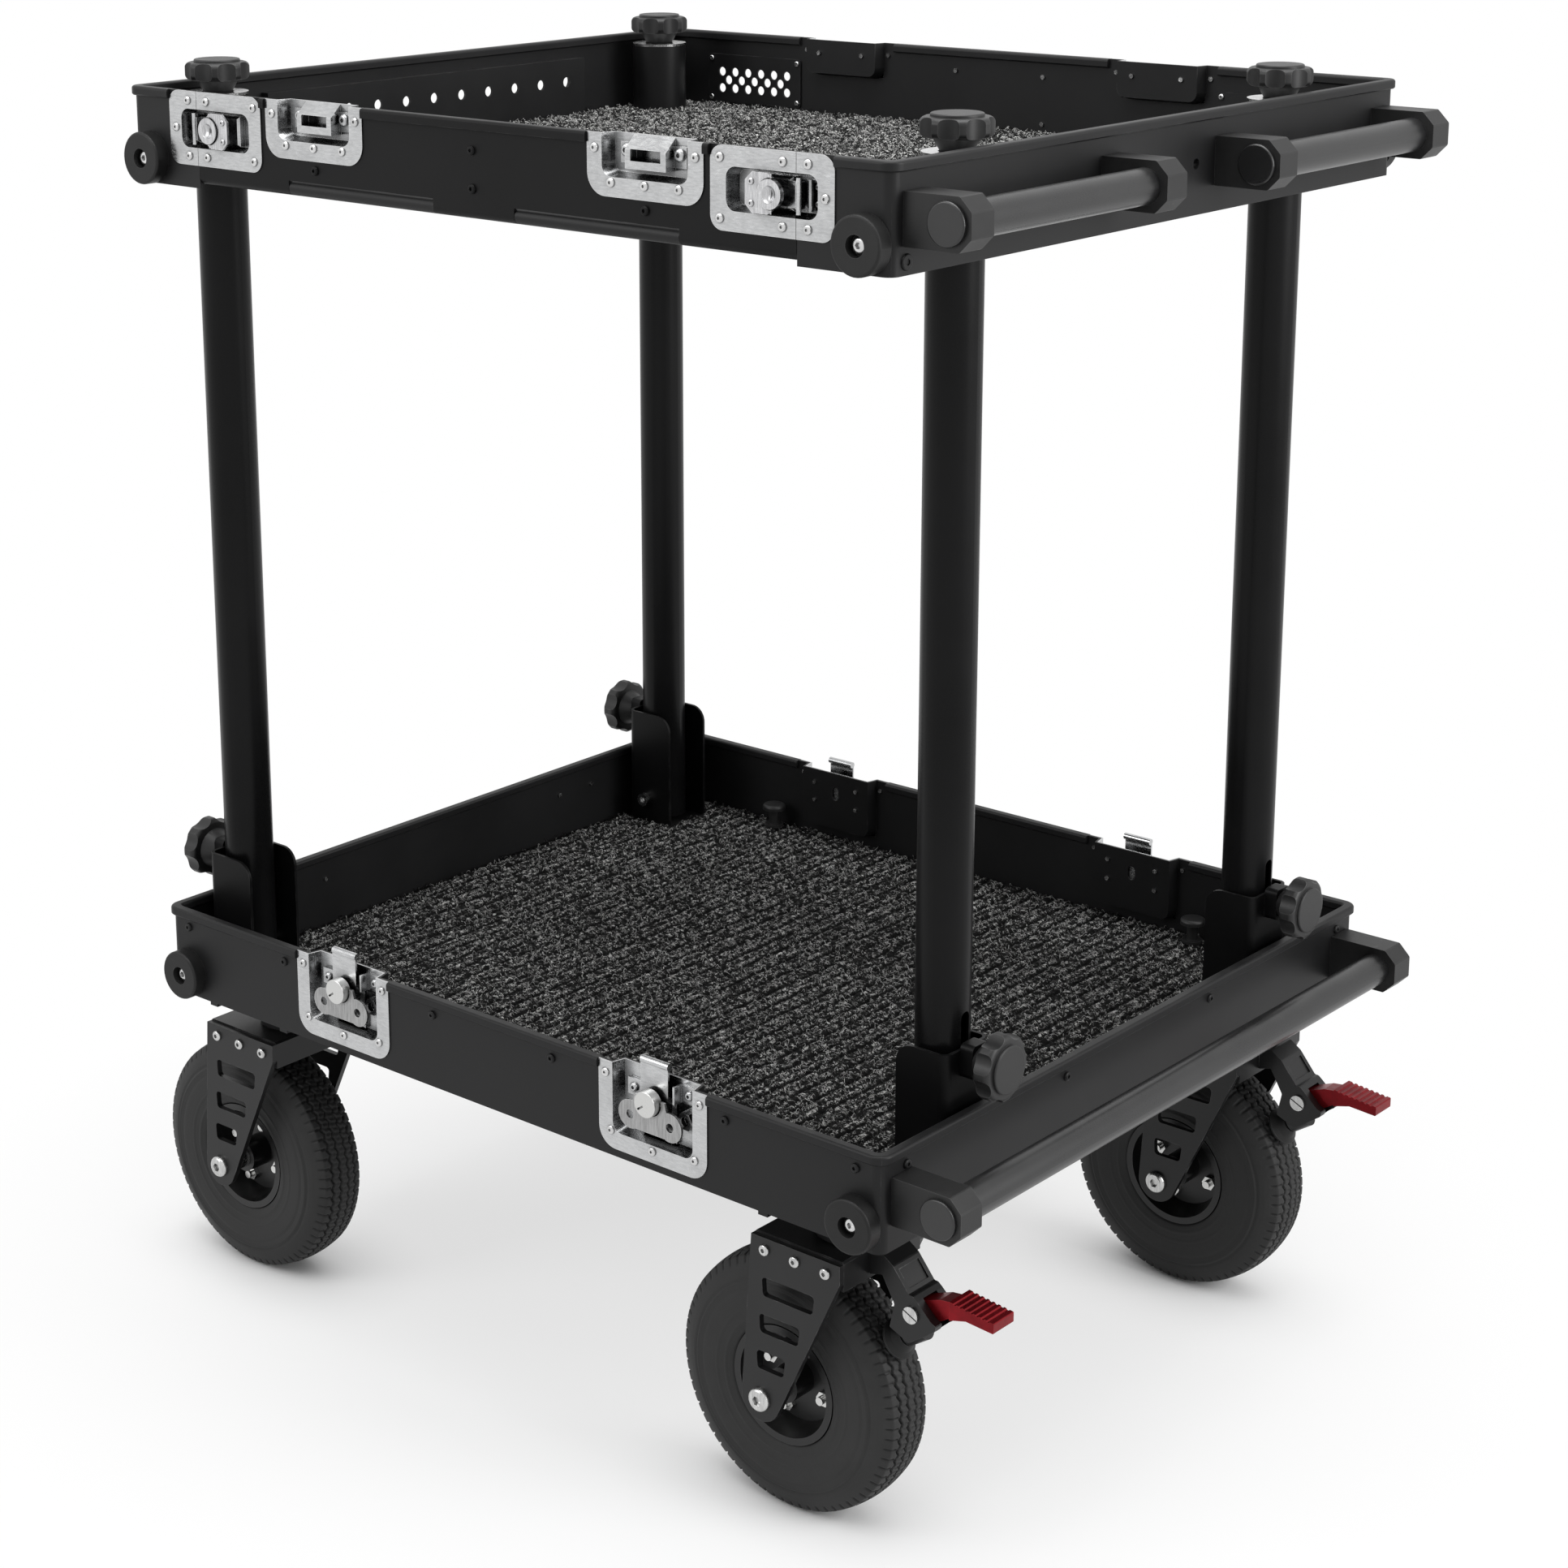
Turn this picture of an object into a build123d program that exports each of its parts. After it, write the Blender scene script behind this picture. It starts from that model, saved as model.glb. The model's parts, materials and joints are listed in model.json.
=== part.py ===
from build123d import *
import math
import os

# Camera cart: two open trays on four tube legs, rolling on four swivel casters.
# Frame: +Z up, +X towards the push handle (rear), -Y is the left side of a person
# who pushes the cart. The origin is on the floor, under the middle of the cart.
# All sizes are in millimetres.

# Trays
tray_length = 932.0
tray_width = 798.0
tray_depth = 93.0
sheet = 3.0
corner_radius = 10.0
rim_height = 9.0
rim_lip = 4.0
floor_raise = 3.5
carpet_thickness = 7.0
carpet_edge_gap = 1.5
lower_base = 332.0
upper_base = 1180.5

# Legs, their brackets and sockets
leg_radius = 25.0
leg_wall = 2.5
front_leg_inset = 44.0
rear_leg_inset = 43.0
front_leg_side_inset = 72.0
rear_leg_side_inset = 143.0
leg_foot_gap = 8.0
pivot_height = 32.0
clamp_height = 127.5
bracket_height = 137.5
bracket_sheet = 3.0
bracket_flange_gap = 4.5
front_bracket_reach = 36.0
rear_bracket_reach = 27.0
bracket_corner_radius = 18.0
bracket_bend_radius = 6.0
clamp_block_length = 13.5
clamp_block_width = 24.0
clamp_block_height = 32.0
slot_width = 11.6
slot_above_bracket = 32.0
slot_below_clamp = 14.0
plug_length = 18.0
pivot_bolt_radius = 6.0
pivot_head_radius = 7.5
pivot_head_height = 8.0
pivot_nut_height = 6.0
socket_radius = 30.0
socket_roof = 5.0
socket_height = 75.0
ring_thickness = 2.5

# Clamp knobs
knob_radius = 31.5
knob_thickness = 17.0
knob_neck_radius = 13.0
knob_neck_length = 12.0
knob_flutes = 8
knob_flute_depth = 4.4
knob_cap_height = 3.0
knob_stud_radius = 5.0
upper_knob_neck_length = 14.0
clamp_stud_reach = 17.0

# Push handle and the two lift handles
arm_thickness = 30.0
arm_height = 45.0
arm_chamfer = 12.0
grip_radius = 16.0
grip_cap_radius = 18.5
grip_cap_length = 4.0
push_arm_reach = 74.0
lift_arm_reach = 67.0
grip_to_arm_end = 23.0
arm_side_inset = 14.0
lift_arm_inner_y = 76.0
push_arm_drop = 46.0
lift_arm_drop = 47.0
accessory_thread_radius = 5.0
accessory_boss_radius = 11.0
accessory_boss_length = 9.0
accessory_y = 45.0

# Rubber bumpers
bumper_radius = 25.5
bumper_thickness = 15.0
bumper_bore_radius = 9.5
bumper_bore_depth = 9.0
bumper_screw_radius = 3.0
bumper_head_radius = 7.5
bumper_head_height = 4.5
bumper_inset = 26.0
bumper_rise = 25.0

# Recessed latch and keeper dishes
corner_dish_inset = 122.7
dish_spacing = 138.3
dish_width = 131.0
dish_margin = 17.0
dish_depth = 14.0
dish_sheet = 1.2
dish_draft = 14.0
dish_corner = 20.0
closed_dish_corner = 13.0
recess_corner = 10.0
lower_dish_height = 85.0
keeper_dish_height = 54.0
corner_dish_height = 71.0
rivet_radius = 4.2
rivet_height = 2.2
rivet_hole_radius = 1.4
rivet_tail_radius = 2.4
rivet_tail_height = 1.8
dish_rivet_x = 56.7
lower_side_rivet_drop = 11.5
lower_row_x = 50.8
lower_row_rise = 17.8
lower_middle_rise = 11.3
keeper_side_rivet_drop = 13.1
keeper_row_x = 38.2
keeper_row_rise = 12.3
latch_post_drop = 24.5
latch_post_radius = 4.0
latch_cap_radius = 12.5
latch_cap_height = 12.0
wing_thickness = 2.5
cross_pin_radius = 0.9
wing_gap = 2.0
lobe_spread = 24.0
lobe_drop = 18.0
lobe_radius = 14.0
lobe_hole_radius = 4.5
corner_latch_shift = 3.0
hook_width = 33.0
hook_rise = 15.0
hook_sheet = 2.0
hook_roll_radius = 3.6
strike_width = 46.0
strike_height = 28.0
strike_rise = 8.5
strike_slope = 12.0
ear_length = 14.0
cover_sheet = 2.0
keyhole_length = 16.0
keyhole_width = 9.0
corner_wing_gap = 4.2

# Drop side of the upper tray and its hinge
seam_shift = 26.2
seam_gap = 0.6
barrel_radius = 7.0
barrel_drop = 4.0
barrel_inner_x = 51.0
barrel_outer_x = 242.0
panel_knuckle = 20.0
hinge_pin_radius = 3.0
hinge_side_gap = 0.5

# Cable rail and perforated plates of the upper tray
rail_depth = 10.0
rail_sheet = 2.5
rail_end_inset = 164.0
rail_top = 72.0
rail_hole_pitch = 41.2
rail_hole_count = 11
rail_hole_radius = 5.5
rail_hole_rise = 47.0
rail_slot_height = 18.0
rail_slot_margin = 15.0
plate_inset = 128.0
plate_length = 135.0
plate_height = 54.0
plate_sheet = 2.0
plate_rise = 41.0
plate_hole_radius = 5.0
plate_hole_pitch = 19.0
plate_row_pitch = 9.3
plate_window_margin = 9.0

# Tie-down posts on the lower tray's right side
post_inset = 176.0
post_wall_gap = 25.0
post_radius = 6.0
post_head_radius = 13.5
post_head_height = 6.0
post_height = 28.0

# Casters
caster_inset = 85.0
caster_side_inset = 91.0
rear_caster_stagger = 14.0
trail = 59.0
wheel_radius = 127.0
tyre_half_width = 34.0
tread_half_width = 24.0
groove_depth = 3.0
groove_width = 2.4
groove_spacing = 11.0
rim_lip_radius = 58.0
rim_lip_y = 30.0
rim_seat_radius = 54.0
rim_dish_radius = 44.0
rim_web_half = 5.0
rim_bolt_count = 4
rim_bolt_angle = 69.0
rim_bolt_circle = 33.0
rim_bolt_radius = 4.0
rim_sheet = 3.0
hub_radius = 17.0
hub_half_length = 30.0
axle_radius = 6.0
axle_head_radius = 11.5
axle_head_height = 6.0
fork_inner_half = 56.0
fork_plate = 6.0
head_length = 102.0
head_offset = 19.2
head_top = 291.0
head_height = 29.0
plate_top = 289.0
plate_shoulder = 20.0
axle_boss_radius = 22.0
fork_screw_pitch = 35.0
fork_screw_drop = 10.5
fork_screw_radius = 3.0
screw_head_radius = 5.6
screw_head_height = 3.4
fork_screw_length = 16.0
kingpin_radius = 10.0
kingpin_top = 326.0
swivel_radius = 37.0
mount_plate_thickness = 8.0
mount_plate_half = 52.0
rail_span = 119.0
slide_rail_drop = 22.0
slide_rail_wall = 4.0
slide_rail_lip = 11.0
slide_rail_length = 130.0

# Wheel brake of the rear casters
brake_half_width = 19.0
brake_slot_half = 10.0
brake_edge_chamfer = 0.8
brake_pivot_x = 79.0
brake_pivot_z = 242.0
brake_pivot_radius = 4.0
brake_screw_radius = 8.0
pedal_length = 64.0
pedal_half_width = 15.0
pedal_ribs = 8
shoe_radius = 19.0
shoe_gap = 5.5
shoe_cup_height = 12.0
shoe_neck_radius = 10.0
shoe_stem_length = 30.0
shoe_guide_radius = 10.0
shoe_guide_start = 2.5
shoe_guide_length = 22.0
shoe_stem_radius = 5.0
shoe_angle = 34.0

# Clearances
fit = 0.05
slide_fit = 0.1
rest_gap = 0.3

# Heights and faces worked out from the sizes above
wall_x = tray_length / 2
wall_y = tray_width / 2
front_leg_x = front_leg_inset - wall_x
rear_leg_x = wall_x - rear_leg_inset
front_leg_y = wall_y - front_leg_side_inset
rear_leg_y = wall_y - rear_leg_side_inset
arm_outer_y = wall_y - arm_side_inset
bumper_x = wall_x - bumper_inset
corner_dish_x = wall_x - corner_dish_inset
dish_x = corner_dish_x - dish_spacing
corner_latch_x = corner_dish_x + corner_latch_shift
seam_x = corner_dish_x + seam_shift
rail_half_length = wall_y - rail_end_inset
plate_x = wall_x - plate_inset
post_x = wall_x - post_inset
post_y = wall_y - post_wall_gap
caster_x = wall_x - caster_inset
caster_y = wall_y - caster_side_inset
lower_floor = lower_base + floor_raise
upper_floor = upper_base + floor_raise
lower_deck = lower_floor + sheet
upper_deck = upper_floor + sheet
lower_top = lower_base + tray_depth
upper_top = upper_base + tray_depth
leg_base = lower_deck + leg_foot_gap
pivot_z = lower_deck + pivot_height
clamp_z = lower_deck + clamp_height
bracket_top = lower_deck + bracket_height
socket_top = upper_deck + socket_height
leg_top = socket_top - socket_roof
hinge_y = -wall_y + barrel_radius
hinge_z = upper_base + barrel_drop + barrel_radius
web_inner = leg_radius + rest_gap
web_outer = web_inner + bracket_sheet
flange_inner = leg_radius + bracket_flange_gap
flange_outer = flange_inner + bracket_sheet


def write(name, shapes):
    """Write one sub-part as parts/NAME.step, its pieces as separate solids."""
    solids = [solid for shape in shapes for solid in shape.solids()]
    export_step(Compound(solids), f"parts/{name}.step")


def span(x0, x1, y0, y1, z0, z1):
    """A box given by its lowest and highest faces."""
    centre = ((x0 + x1) / 2, (y0 + y1) / 2, (z0 + z1) / 2)
    return Pos(*centre) * Box(x1 - x0, y1 - y0, z1 - z0)


def rod_x(radius, x0, x1, y=0.0, z=0.0):
    """A round bar along X."""
    return Pos((x0 + x1) / 2, y, z) * Rot(0, 90, 0) * Cylinder(radius, x1 - x0)


def rod_y(radius, y0, y1, x=0.0, z=0.0):
    """A round bar along Y."""
    return Pos(x, (y0 + y1) / 2, z) * Rot(90, 0, 0) * Cylinder(radius, y1 - y0)


def rod_z(radius, z0, z1, x=0.0, y=0.0):
    """A round bar along Z."""
    return Pos(x, y, (z0 + z1) / 2) * Cylinder(radius, z1 - z0)


def button_head(radius, height):
    """A domed screw or rivet head on the plane z = 0, with a driver recess."""
    head = Cylinder(radius, height, align=(Align.CENTER, Align.CENTER, Align.MIN))
    head = fillet(head.edges().group_by(Axis.Z)[-1], height * 0.7)
    recess = extrude(RegularPolygon(radius * 0.42, 6), height)
    return head - Pos(0, 0, height * 0.45) * recess


def wall_frame(side, x, top):
    """Placement on an outer Y wall: local x along the wall, y up, z outwards."""
    along = (-side, 0, 0)
    plane = Plane(origin=(x, side * wall_y, top), x_dir=along, z_dir=(0, side, 0))
    return plane.location


# Trays, their carpets and rims


def rim_band(top):
    """Rolled rim bead round the tray's top edge."""
    outer_length = tray_length + 2 * rim_lip
    outer_width = tray_width + 2 * rim_lip
    inner_length = tray_length - 2 * (sheet + rim_lip)
    inner_width = tray_width - 2 * (sheet + rim_lip)
    band = RectangleRounded(outer_length, outer_width, corner_radius + rim_lip)
    band -= RectangleRounded(inner_length, inner_width, corner_radius / 2)
    rim = Pos(0, 0, top - rim_height) * extrude(band, rim_height)
    top_edges = rim.edges().group_by(Axis.Z)[-1]
    rim = fillet(top_edges, rim_lip * 0.7)
    lower_edges = rim.edges().group_by(Axis.Z)[0]
    return chamfer(lower_edges, rim_lip * 0.3)


def tray_shell(base):
    """Folded sheet tray: four walls, a raised floor and the rim bead."""
    top = base + tray_depth
    outline = RectangleRounded(tray_length, tray_width, corner_radius)
    inside = RectangleRounded(
        tray_length - 2 * sheet, tray_width - 2 * sheet, corner_radius - sheet
    )
    walls = Pos(0, 0, base) * extrude(outline - inside, tray_depth)
    floor = Pos(0, 0, base + floor_raise) * extrude(inside, sheet)
    return walls + floor + rim_band(top)


def tray_pieces(tray, base):
    """The floor and the walls of a tray as separate pieces, mitred at the corners."""
    inner_x = wall_x - sheet
    inner_y = wall_y - sheet
    deck = base + floor_raise + sheet
    floor_zone = span(-inner_x, inner_x, -inner_y, inner_y, base - 1, deck)
    frame = tray - floor_zone
    far = 2 * wall_x
    apex = wall_x - wall_y
    wedge = make_face(Polyline((apex, 0), (apex + far, far), (apex + far, -far), close=True))
    rear_zone = Pos(0, 0, base - 1) * extrude(wedge, 2 * tray_depth)
    front_zone = mirror(rear_zone, Plane.YZ)
    return [tray & floor_zone, frame & front_zone, frame & rear_zone, frame - front_zone - rear_zone]


def rim_relief(side, x, width, top):
    """Cut that takes the rim bead off a wall where a dish lies over it."""
    y_out = wall_y + rim_lip + 1
    y_in = wall_y - sheet - rim_lip - 1
    outer = span(x - width / 2, x + width / 2, wall_y, y_out, top - rim_height - 1, top + 1)
    inner = span(
        x - width / 2, x + width / 2, y_in, wall_y - sheet, top - rim_height - 1, top + 1
    )
    cut = outer + inner
    return cut if side > 0 else mirror(cut, Plane.XZ)


def dish_window(side, x, top, height, open_top):
    """Hole in a wall for the recess of a dish."""
    half = dish_width / 2 - dish_margin + dish_sheet + rest_gap
    low = top - height + dish_margin - dish_sheet - rest_gap
    high = top + 1 if open_top else top - dish_margin + dish_sheet + rest_gap
    hole = span(x - half, x + half, wall_y - 1.5 * dish_depth, wall_y + 1, low, high)
    return hole if side > 0 else mirror(hole, Plane.XZ)


lower_tray = tray_shell(lower_base)
for side in (-1, 1):
    for x in (-dish_x, dish_x):
        lower_tray -= rim_relief(side, x, dish_width + 1, lower_top)
        lower_tray -= dish_window(side, x, lower_top, lower_dish_height, True)

upper_tray = tray_shell(upper_base)
for x in (-dish_x, dish_x):
    upper_tray -= rim_relief(1, x, dish_width + 1, upper_top)
    upper_tray -= dish_window(1, x, upper_top, keeper_dish_height, True)
for x in (-corner_dish_x, corner_dish_x):
    upper_tray -= rim_relief(-1, x, dish_width + 1, upper_top)
    upper_tray -= dish_window(-1, x, upper_top, corner_dish_height, False)

# The left wall between the two seams is the separate drop side.
panel_room = sheet + rim_lip + 1
upper_tray -= span(
    -seam_x, seam_x, -wall_y - rim_lip - 1, -wall_y + panel_room, upper_base - 1, upper_top + 1
)
floor_edge = hinge_y + barrel_radius + dish_sheet + hinge_side_gap
upper_tray -= span(-seam_x, seam_x, -wall_y, floor_edge, upper_base - 1, upper_deck + 1)

# Hinge leaves that stay with the tray, each a barrel on a strip against the floor's edge.
hinge_leaves = []
for hand in (-1, 1):
    x0, x1 = sorted((hand * barrel_inner_x, hand * barrel_outer_x))
    barrel = rod_x(barrel_radius, x0, x1, hinge_y, hinge_z)
    leaf = span(x0, x1, hinge_y, floor_edge, hinge_z - barrel_radius, upper_deck)
    bore = rod_x(hinge_pin_radius + fit, x0 - 1, x1 + 1, hinge_y, hinge_z)
    hinge_leaves.append(barrel + leaf - bore)

# Leg holes in the upper floor.
leg_places = {
    "front_left": (front_leg_x, -front_leg_y),
    "front_right": (front_leg_x, front_leg_y),
    "rear_left": (rear_leg_x, -rear_leg_y),
    "rear_right": (rear_leg_x, rear_leg_y),
}
for x, y in leg_places.values():
    upper_tray -= rod_z(leg_radius + rest_gap, upper_floor - 1, upper_deck + 1, x, y)

# Cable holes of the left-to-right rail, and one long slot behind them in the front wall.
rail_hole_z = upper_base + rail_hole_rise
first_hole = -(rail_hole_count - 1) / 2 * rail_hole_pitch
rail_hole_places = [first_hole + i * rail_hole_pitch for i in range(rail_hole_count)]
rail_holes = [
    rod_x(rail_hole_radius, -wall_x - 1, -wall_x + 2 * rail_depth, y, rail_hole_z)
    for y in rail_hole_places
]
rail_slot = SlotOverall(2 * (rail_slot_margin - first_hole), rail_slot_height)
rail_slot = extrude(Plane.YZ * rail_slot, sheet + 2)
upper_tray -= Pos(-wall_x - 1, 0, rail_hole_z) * rail_slot

# Windows behind the perforated plates of the right wall.
plate_z = upper_base + plate_rise
window_length = plate_length - 2 * plate_window_margin
window_height = plate_height - 2 * plate_window_margin
for x in (-plate_x, plate_x):
    window = RectangleRounded(window_length, window_height, 4)
    window = extrude(window, sheet + 2)
    upper_tray -= Pos(x, wall_y + 1, plate_z) * Rot(90, 0, 0) * window

# Threaded accessory boss in the rear wall, between the lift handles.
lift_arm_z = upper_top - lift_arm_drop
boss_x = wall_x - sheet - accessory_boss_length
upper_tray += rod_x(accessory_boss_radius, boss_x, wall_x, accessory_y, lift_arm_z)
upper_tray -= rod_x(accessory_thread_radius, boss_x - 1, wall_x + 1, accessory_y, lift_arm_z)


def carpet_sheet(deck):
    """Plain carpet sheet with room round its edge."""
    inset = 2 * (sheet + carpet_edge_gap)
    return Pos(0, 0, deck) * extrude(
        RectangleRounded(tray_length - inset, tray_width - inset, 5), carpet_thickness
    )


def bracket_reach(x):
    """How far a leg bracket's flanges reach towards the tray's middle."""
    return front_bracket_reach if x < 0 else rear_bracket_reach


lower_carpet = carpet_sheet(lower_deck)
for x, y in leg_places.values():
    out = math.copysign(1, x)
    x0, x1 = sorted((x - out * (bracket_reach(x) + 1), out * wall_x))
    lower_carpet -= span(
        x0, x1, y - flange_outer - 1, y + flange_outer + 1, lower_deck - 1, lower_deck + 20
    )
for x in (-post_x, post_x):
    lower_carpet -= rod_z(post_radius + rest_gap, lower_deck - 1, lower_deck + 20, x, post_y)

upper_carpet = carpet_sheet(upper_deck)
for x, y in leg_places.values():
    upper_carpet -= rod_z(socket_radius + rest_gap, upper_deck - 1, upper_deck + 20, x, y)
upper_carpet -= span(
    -wall_x, wall_x, -wall_y, floor_edge + 1, upper_deck - 1, upper_deck + 20
)
upper_carpet -= span(
    -wall_x,
    -wall_x + sheet + rail_depth + 1,
    -rail_half_length - 1,
    rail_half_length + 1,
    upper_deck - 1,
    upper_deck + 20,
)
write("lower_carpet", [lower_carpet])
write("upper_carpet", [upper_carpet])


# Legs, brackets, sockets and their knobs


def leg_tube(x, y):
    """One tube leg with its clamp slot, pivot hole and threaded top plug."""
    out = math.copysign(1, x)
    tube = rod_z(leg_radius, leg_base, leg_top, x, y)
    tube -= rod_z(leg_radius - leg_wall, leg_base - 1, leg_top + 1, x, y)
    tube -= rod_y(pivot_bolt_radius + fit, y - 2 * leg_radius, y + 2 * leg_radius, x, pivot_z)
    slot_low = clamp_z - slot_below_clamp
    slot_high = bracket_top + slot_above_bracket
    slot = SlotOverall(slot_high - slot_low, slot_width)
    slot = extrude(Plane.YZ * Rot(0, 0, 90) * slot, out * 1.5 * leg_radius)
    tube -= Pos(x, y, (slot_low + slot_high) / 2) * slot
    plug = rod_z(leg_radius - leg_wall, leg_top - plug_length, leg_top, x, y)
    plug -= rod_z(knob_stud_radius + fit, leg_top - plug_length - 1, leg_top + 1, x, y)
    return [tube, plug]


def leg_bracket(x, y):
    """U-shaped leg bracket with its foot plate, and the clamp block outside it."""
    out = math.copysign(1, x)
    reach = bracket_reach(x)
    depth = reach + web_outer
    width = 2 * flange_outer
    middle = (web_outer - reach) / 2
    block = Pos(middle, 0, bracket_height / 2) * Box(depth, width, bracket_height)
    web_edges = block.edges().filter_by(Axis.Z).sort_by(Axis.X)[-2:]
    block = fillet(web_edges, bracket_bend_radius + bracket_sheet)
    room_height = bracket_height - bracket_sheet
    room = Box(depth, 2 * flange_inner, room_height)
    room_edges = room.edges().filter_by(Axis.Z).sort_by(Axis.X)[-2:]
    room = fillet(room_edges, bracket_bend_radius)
    block -= Pos(middle - bracket_sheet, 0, bracket_sheet + room_height / 2) * room
    corner = bracket_corner_radius
    ear_top = bracket_height + corner
    ear = span(-reach - 1, -reach + corner, -width, width, bracket_height - corner, ear_top)
    ear -= rod_y(corner, -width - 1, width + 1, -reach + corner, bracket_height - corner)
    block -= ear
    bolt_z = pivot_z - lower_deck
    block -= rod_y(pivot_bolt_radius + fit, -width, width, 0, bolt_z)
    block -= rod_x(knob_stud_radius + fit, 0, web_outer + 1, 0, clamp_height)
    clamp = span(
        web_outer,
        web_outer + clamp_block_length,
        -clamp_block_width / 2,
        clamp_block_width / 2,
        clamp_height - clamp_block_height / 2,
        clamp_height + clamp_block_height / 2,
    )
    clamp = fillet(clamp.edges().filter_by(Axis.X), 5)
    clamp -= rod_x(knob_stud_radius + fit, web_outer - 1, web_outer + 50, 0, clamp_height)
    turn = Rot(0, 0, 0 if out > 0 else 180)
    place = Pos(x, y, lower_deck) * turn
    return [place * block, place * clamp]


def pivot_bolt(x, y):
    """Shoulder bolt through bracket and leg, head towards the cart's middle."""
    inwards = -math.copysign(1, y)
    end = flange_outer + pivot_nut_height + 2
    bolt = rod_y(pivot_bolt_radius, -end, flange_outer, 0, 0)
    head = Pos(0, flange_outer, 0) * Rot(-90, 0, 0) * Cylinder(
        pivot_head_radius, pivot_head_height, align=(Align.CENTER, Align.CENTER, Align.MIN)
    )
    socket = extrude(RegularPolygon(pivot_head_radius * 0.5, 6), pivot_head_height)
    head -= Pos(0, flange_outer + pivot_head_height * 0.5, 0) * Rot(-90, 0, 0) * socket
    nut = extrude(RegularPolygon(pivot_bolt_radius * 1.9, 6), pivot_nut_height)
    nut -= Cylinder(pivot_bolt_radius, 3 * pivot_nut_height)
    nut = Pos(0, -flange_outer, 0) * Rot(90, 0, 0) * nut
    place = Pos(x, y, pivot_z) * Rot(0, 0, 0 if inwards > 0 else 180)
    return [place * (bolt + head), place * nut]


def knob(neck_length, stud_length):
    """Fluted clamp knob on +Z: the neck starts at z = 0 and the stud points down."""
    base = neck_length
    head = Pos(0, 0, base) * Cylinder(
        knob_radius, knob_thickness, align=(Align.CENTER, Align.CENTER, Align.MIN)
    )
    head = fillet(head.edges().filter_by(GeomType.CIRCLE), knob_thickness * 0.3)
    flute_radius = knob_radius * 0.5
    flute_offset = knob_radius + flute_radius - knob_flute_depth
    for i in range(knob_flutes):
        angle = math.radians(360 / knob_flutes * (i + 0.5))
        x = flute_offset * math.cos(angle)
        y = flute_offset * math.sin(angle)
        head -= rod_z(flute_radius, base - 1, base + knob_thickness + 1, x, y)
    cap_radius = knob_radius * 0.72
    cap = Pos(0, 0, base + knob_thickness) * Cylinder(cap_radius, 2 * knob_cap_height)
    cap = fillet(cap.edges().group_by(Axis.Z)[-1], knob_cap_height * 0.5)
    neck = Cone(
        knob_neck_radius,
        knob_radius * 0.68,
        neck_length + 1,
        align=(Align.CENTER, Align.CENTER, Align.MIN),
    )
    stud = rod_z(knob_stud_radius, -stud_length, 1)
    return head + cap + neck + stud


clamp_face = web_outer + clamp_block_length + rest_gap
clamp_stud = clamp_face - clamp_stud_reach
clamp_knob = knob(knob_neck_length, clamp_stud)
top_knob = knob(upper_knob_neck_length, socket_roof + plug_length - 3)
legs = []
leg_brackets = []
pivot_bolts = []
leg_sockets = []
socket_rings = []
for corner, (x, y) in leg_places.items():
    out = math.copysign(1, x)
    legs += leg_tube(x, y)
    leg_brackets += leg_bracket(x, y)
    pivot_bolts += pivot_bolt(x, y)
    socket = rod_z(socket_radius, upper_deck, socket_top, x, y)
    socket -= rod_z(leg_radius + slide_fit, upper_deck - 1, leg_top, x, y)
    socket -= rod_z(knob_stud_radius + fit, leg_top - 1, socket_top + 1, x, y)
    leg_sockets.append(socket)
    ring = rod_z(socket_radius, socket_top, socket_top + ring_thickness, x, y)
    ring -= rod_z(knob_neck_radius * 1.2, socket_top - 1, socket_top + 10, x, y)
    socket_rings.append(ring)
    write(f"{corner}_top_knob", [Pos(x, y, socket_top + rest_gap) * top_knob])
    place = Pos(x + out * clamp_face, y, clamp_z) * Rot(0, out * 90, 0)
    write(f"{corner}_clamp_knob", [place * clamp_knob])
write("legs", legs)
write("leg_brackets", leg_brackets)
write("leg_sockets", leg_sockets)


# Push handle and lift handles


def handle_arm(y0, z, reach):
    """Bracket arm with an octagonal end, from the rear wall outwards."""
    tip = wall_x + reach
    half = arm_height / 2
    outline = Polyline(
        (wall_x, z - half),
        (tip - arm_chamfer, z - half),
        (tip, z - half + arm_chamfer),
        (tip, z + half - arm_chamfer),
        (tip - arm_chamfer, z + half),
        (wall_x, z + half),
        close=True,
    )
    arm = extrude(Plane.XZ * make_face(outline), -arm_thickness)
    arm = Pos(0, y0, 0) * arm
    arm = chamfer(arm.edges().filter_by(Axis.Y), 0.8)
    grip_x = tip - grip_to_arm_end
    return arm - rod_y(grip_radius + fit, y0 - 1, y0 + arm_thickness + 1, grip_x, z)


def grip_bar(y0, y1, z, reach):
    """Round grip through both arms, with a larger end cap outside each arm."""
    x = wall_x + reach - grip_to_arm_end
    bar = rod_y(grip_radius, y0, y1, x, z)
    for end, sign in ((y0, -1), (y1, 1)):
        a, b = sorted((end, end + sign * grip_cap_length))
        cap = rod_y(grip_cap_radius, a, b, x, z)
        face = cap.edges().group_by(Axis.Y)[0 if sign < 0 else -1]
        bar += fillet(face, grip_cap_length * 0.4)
    return bar


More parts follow.
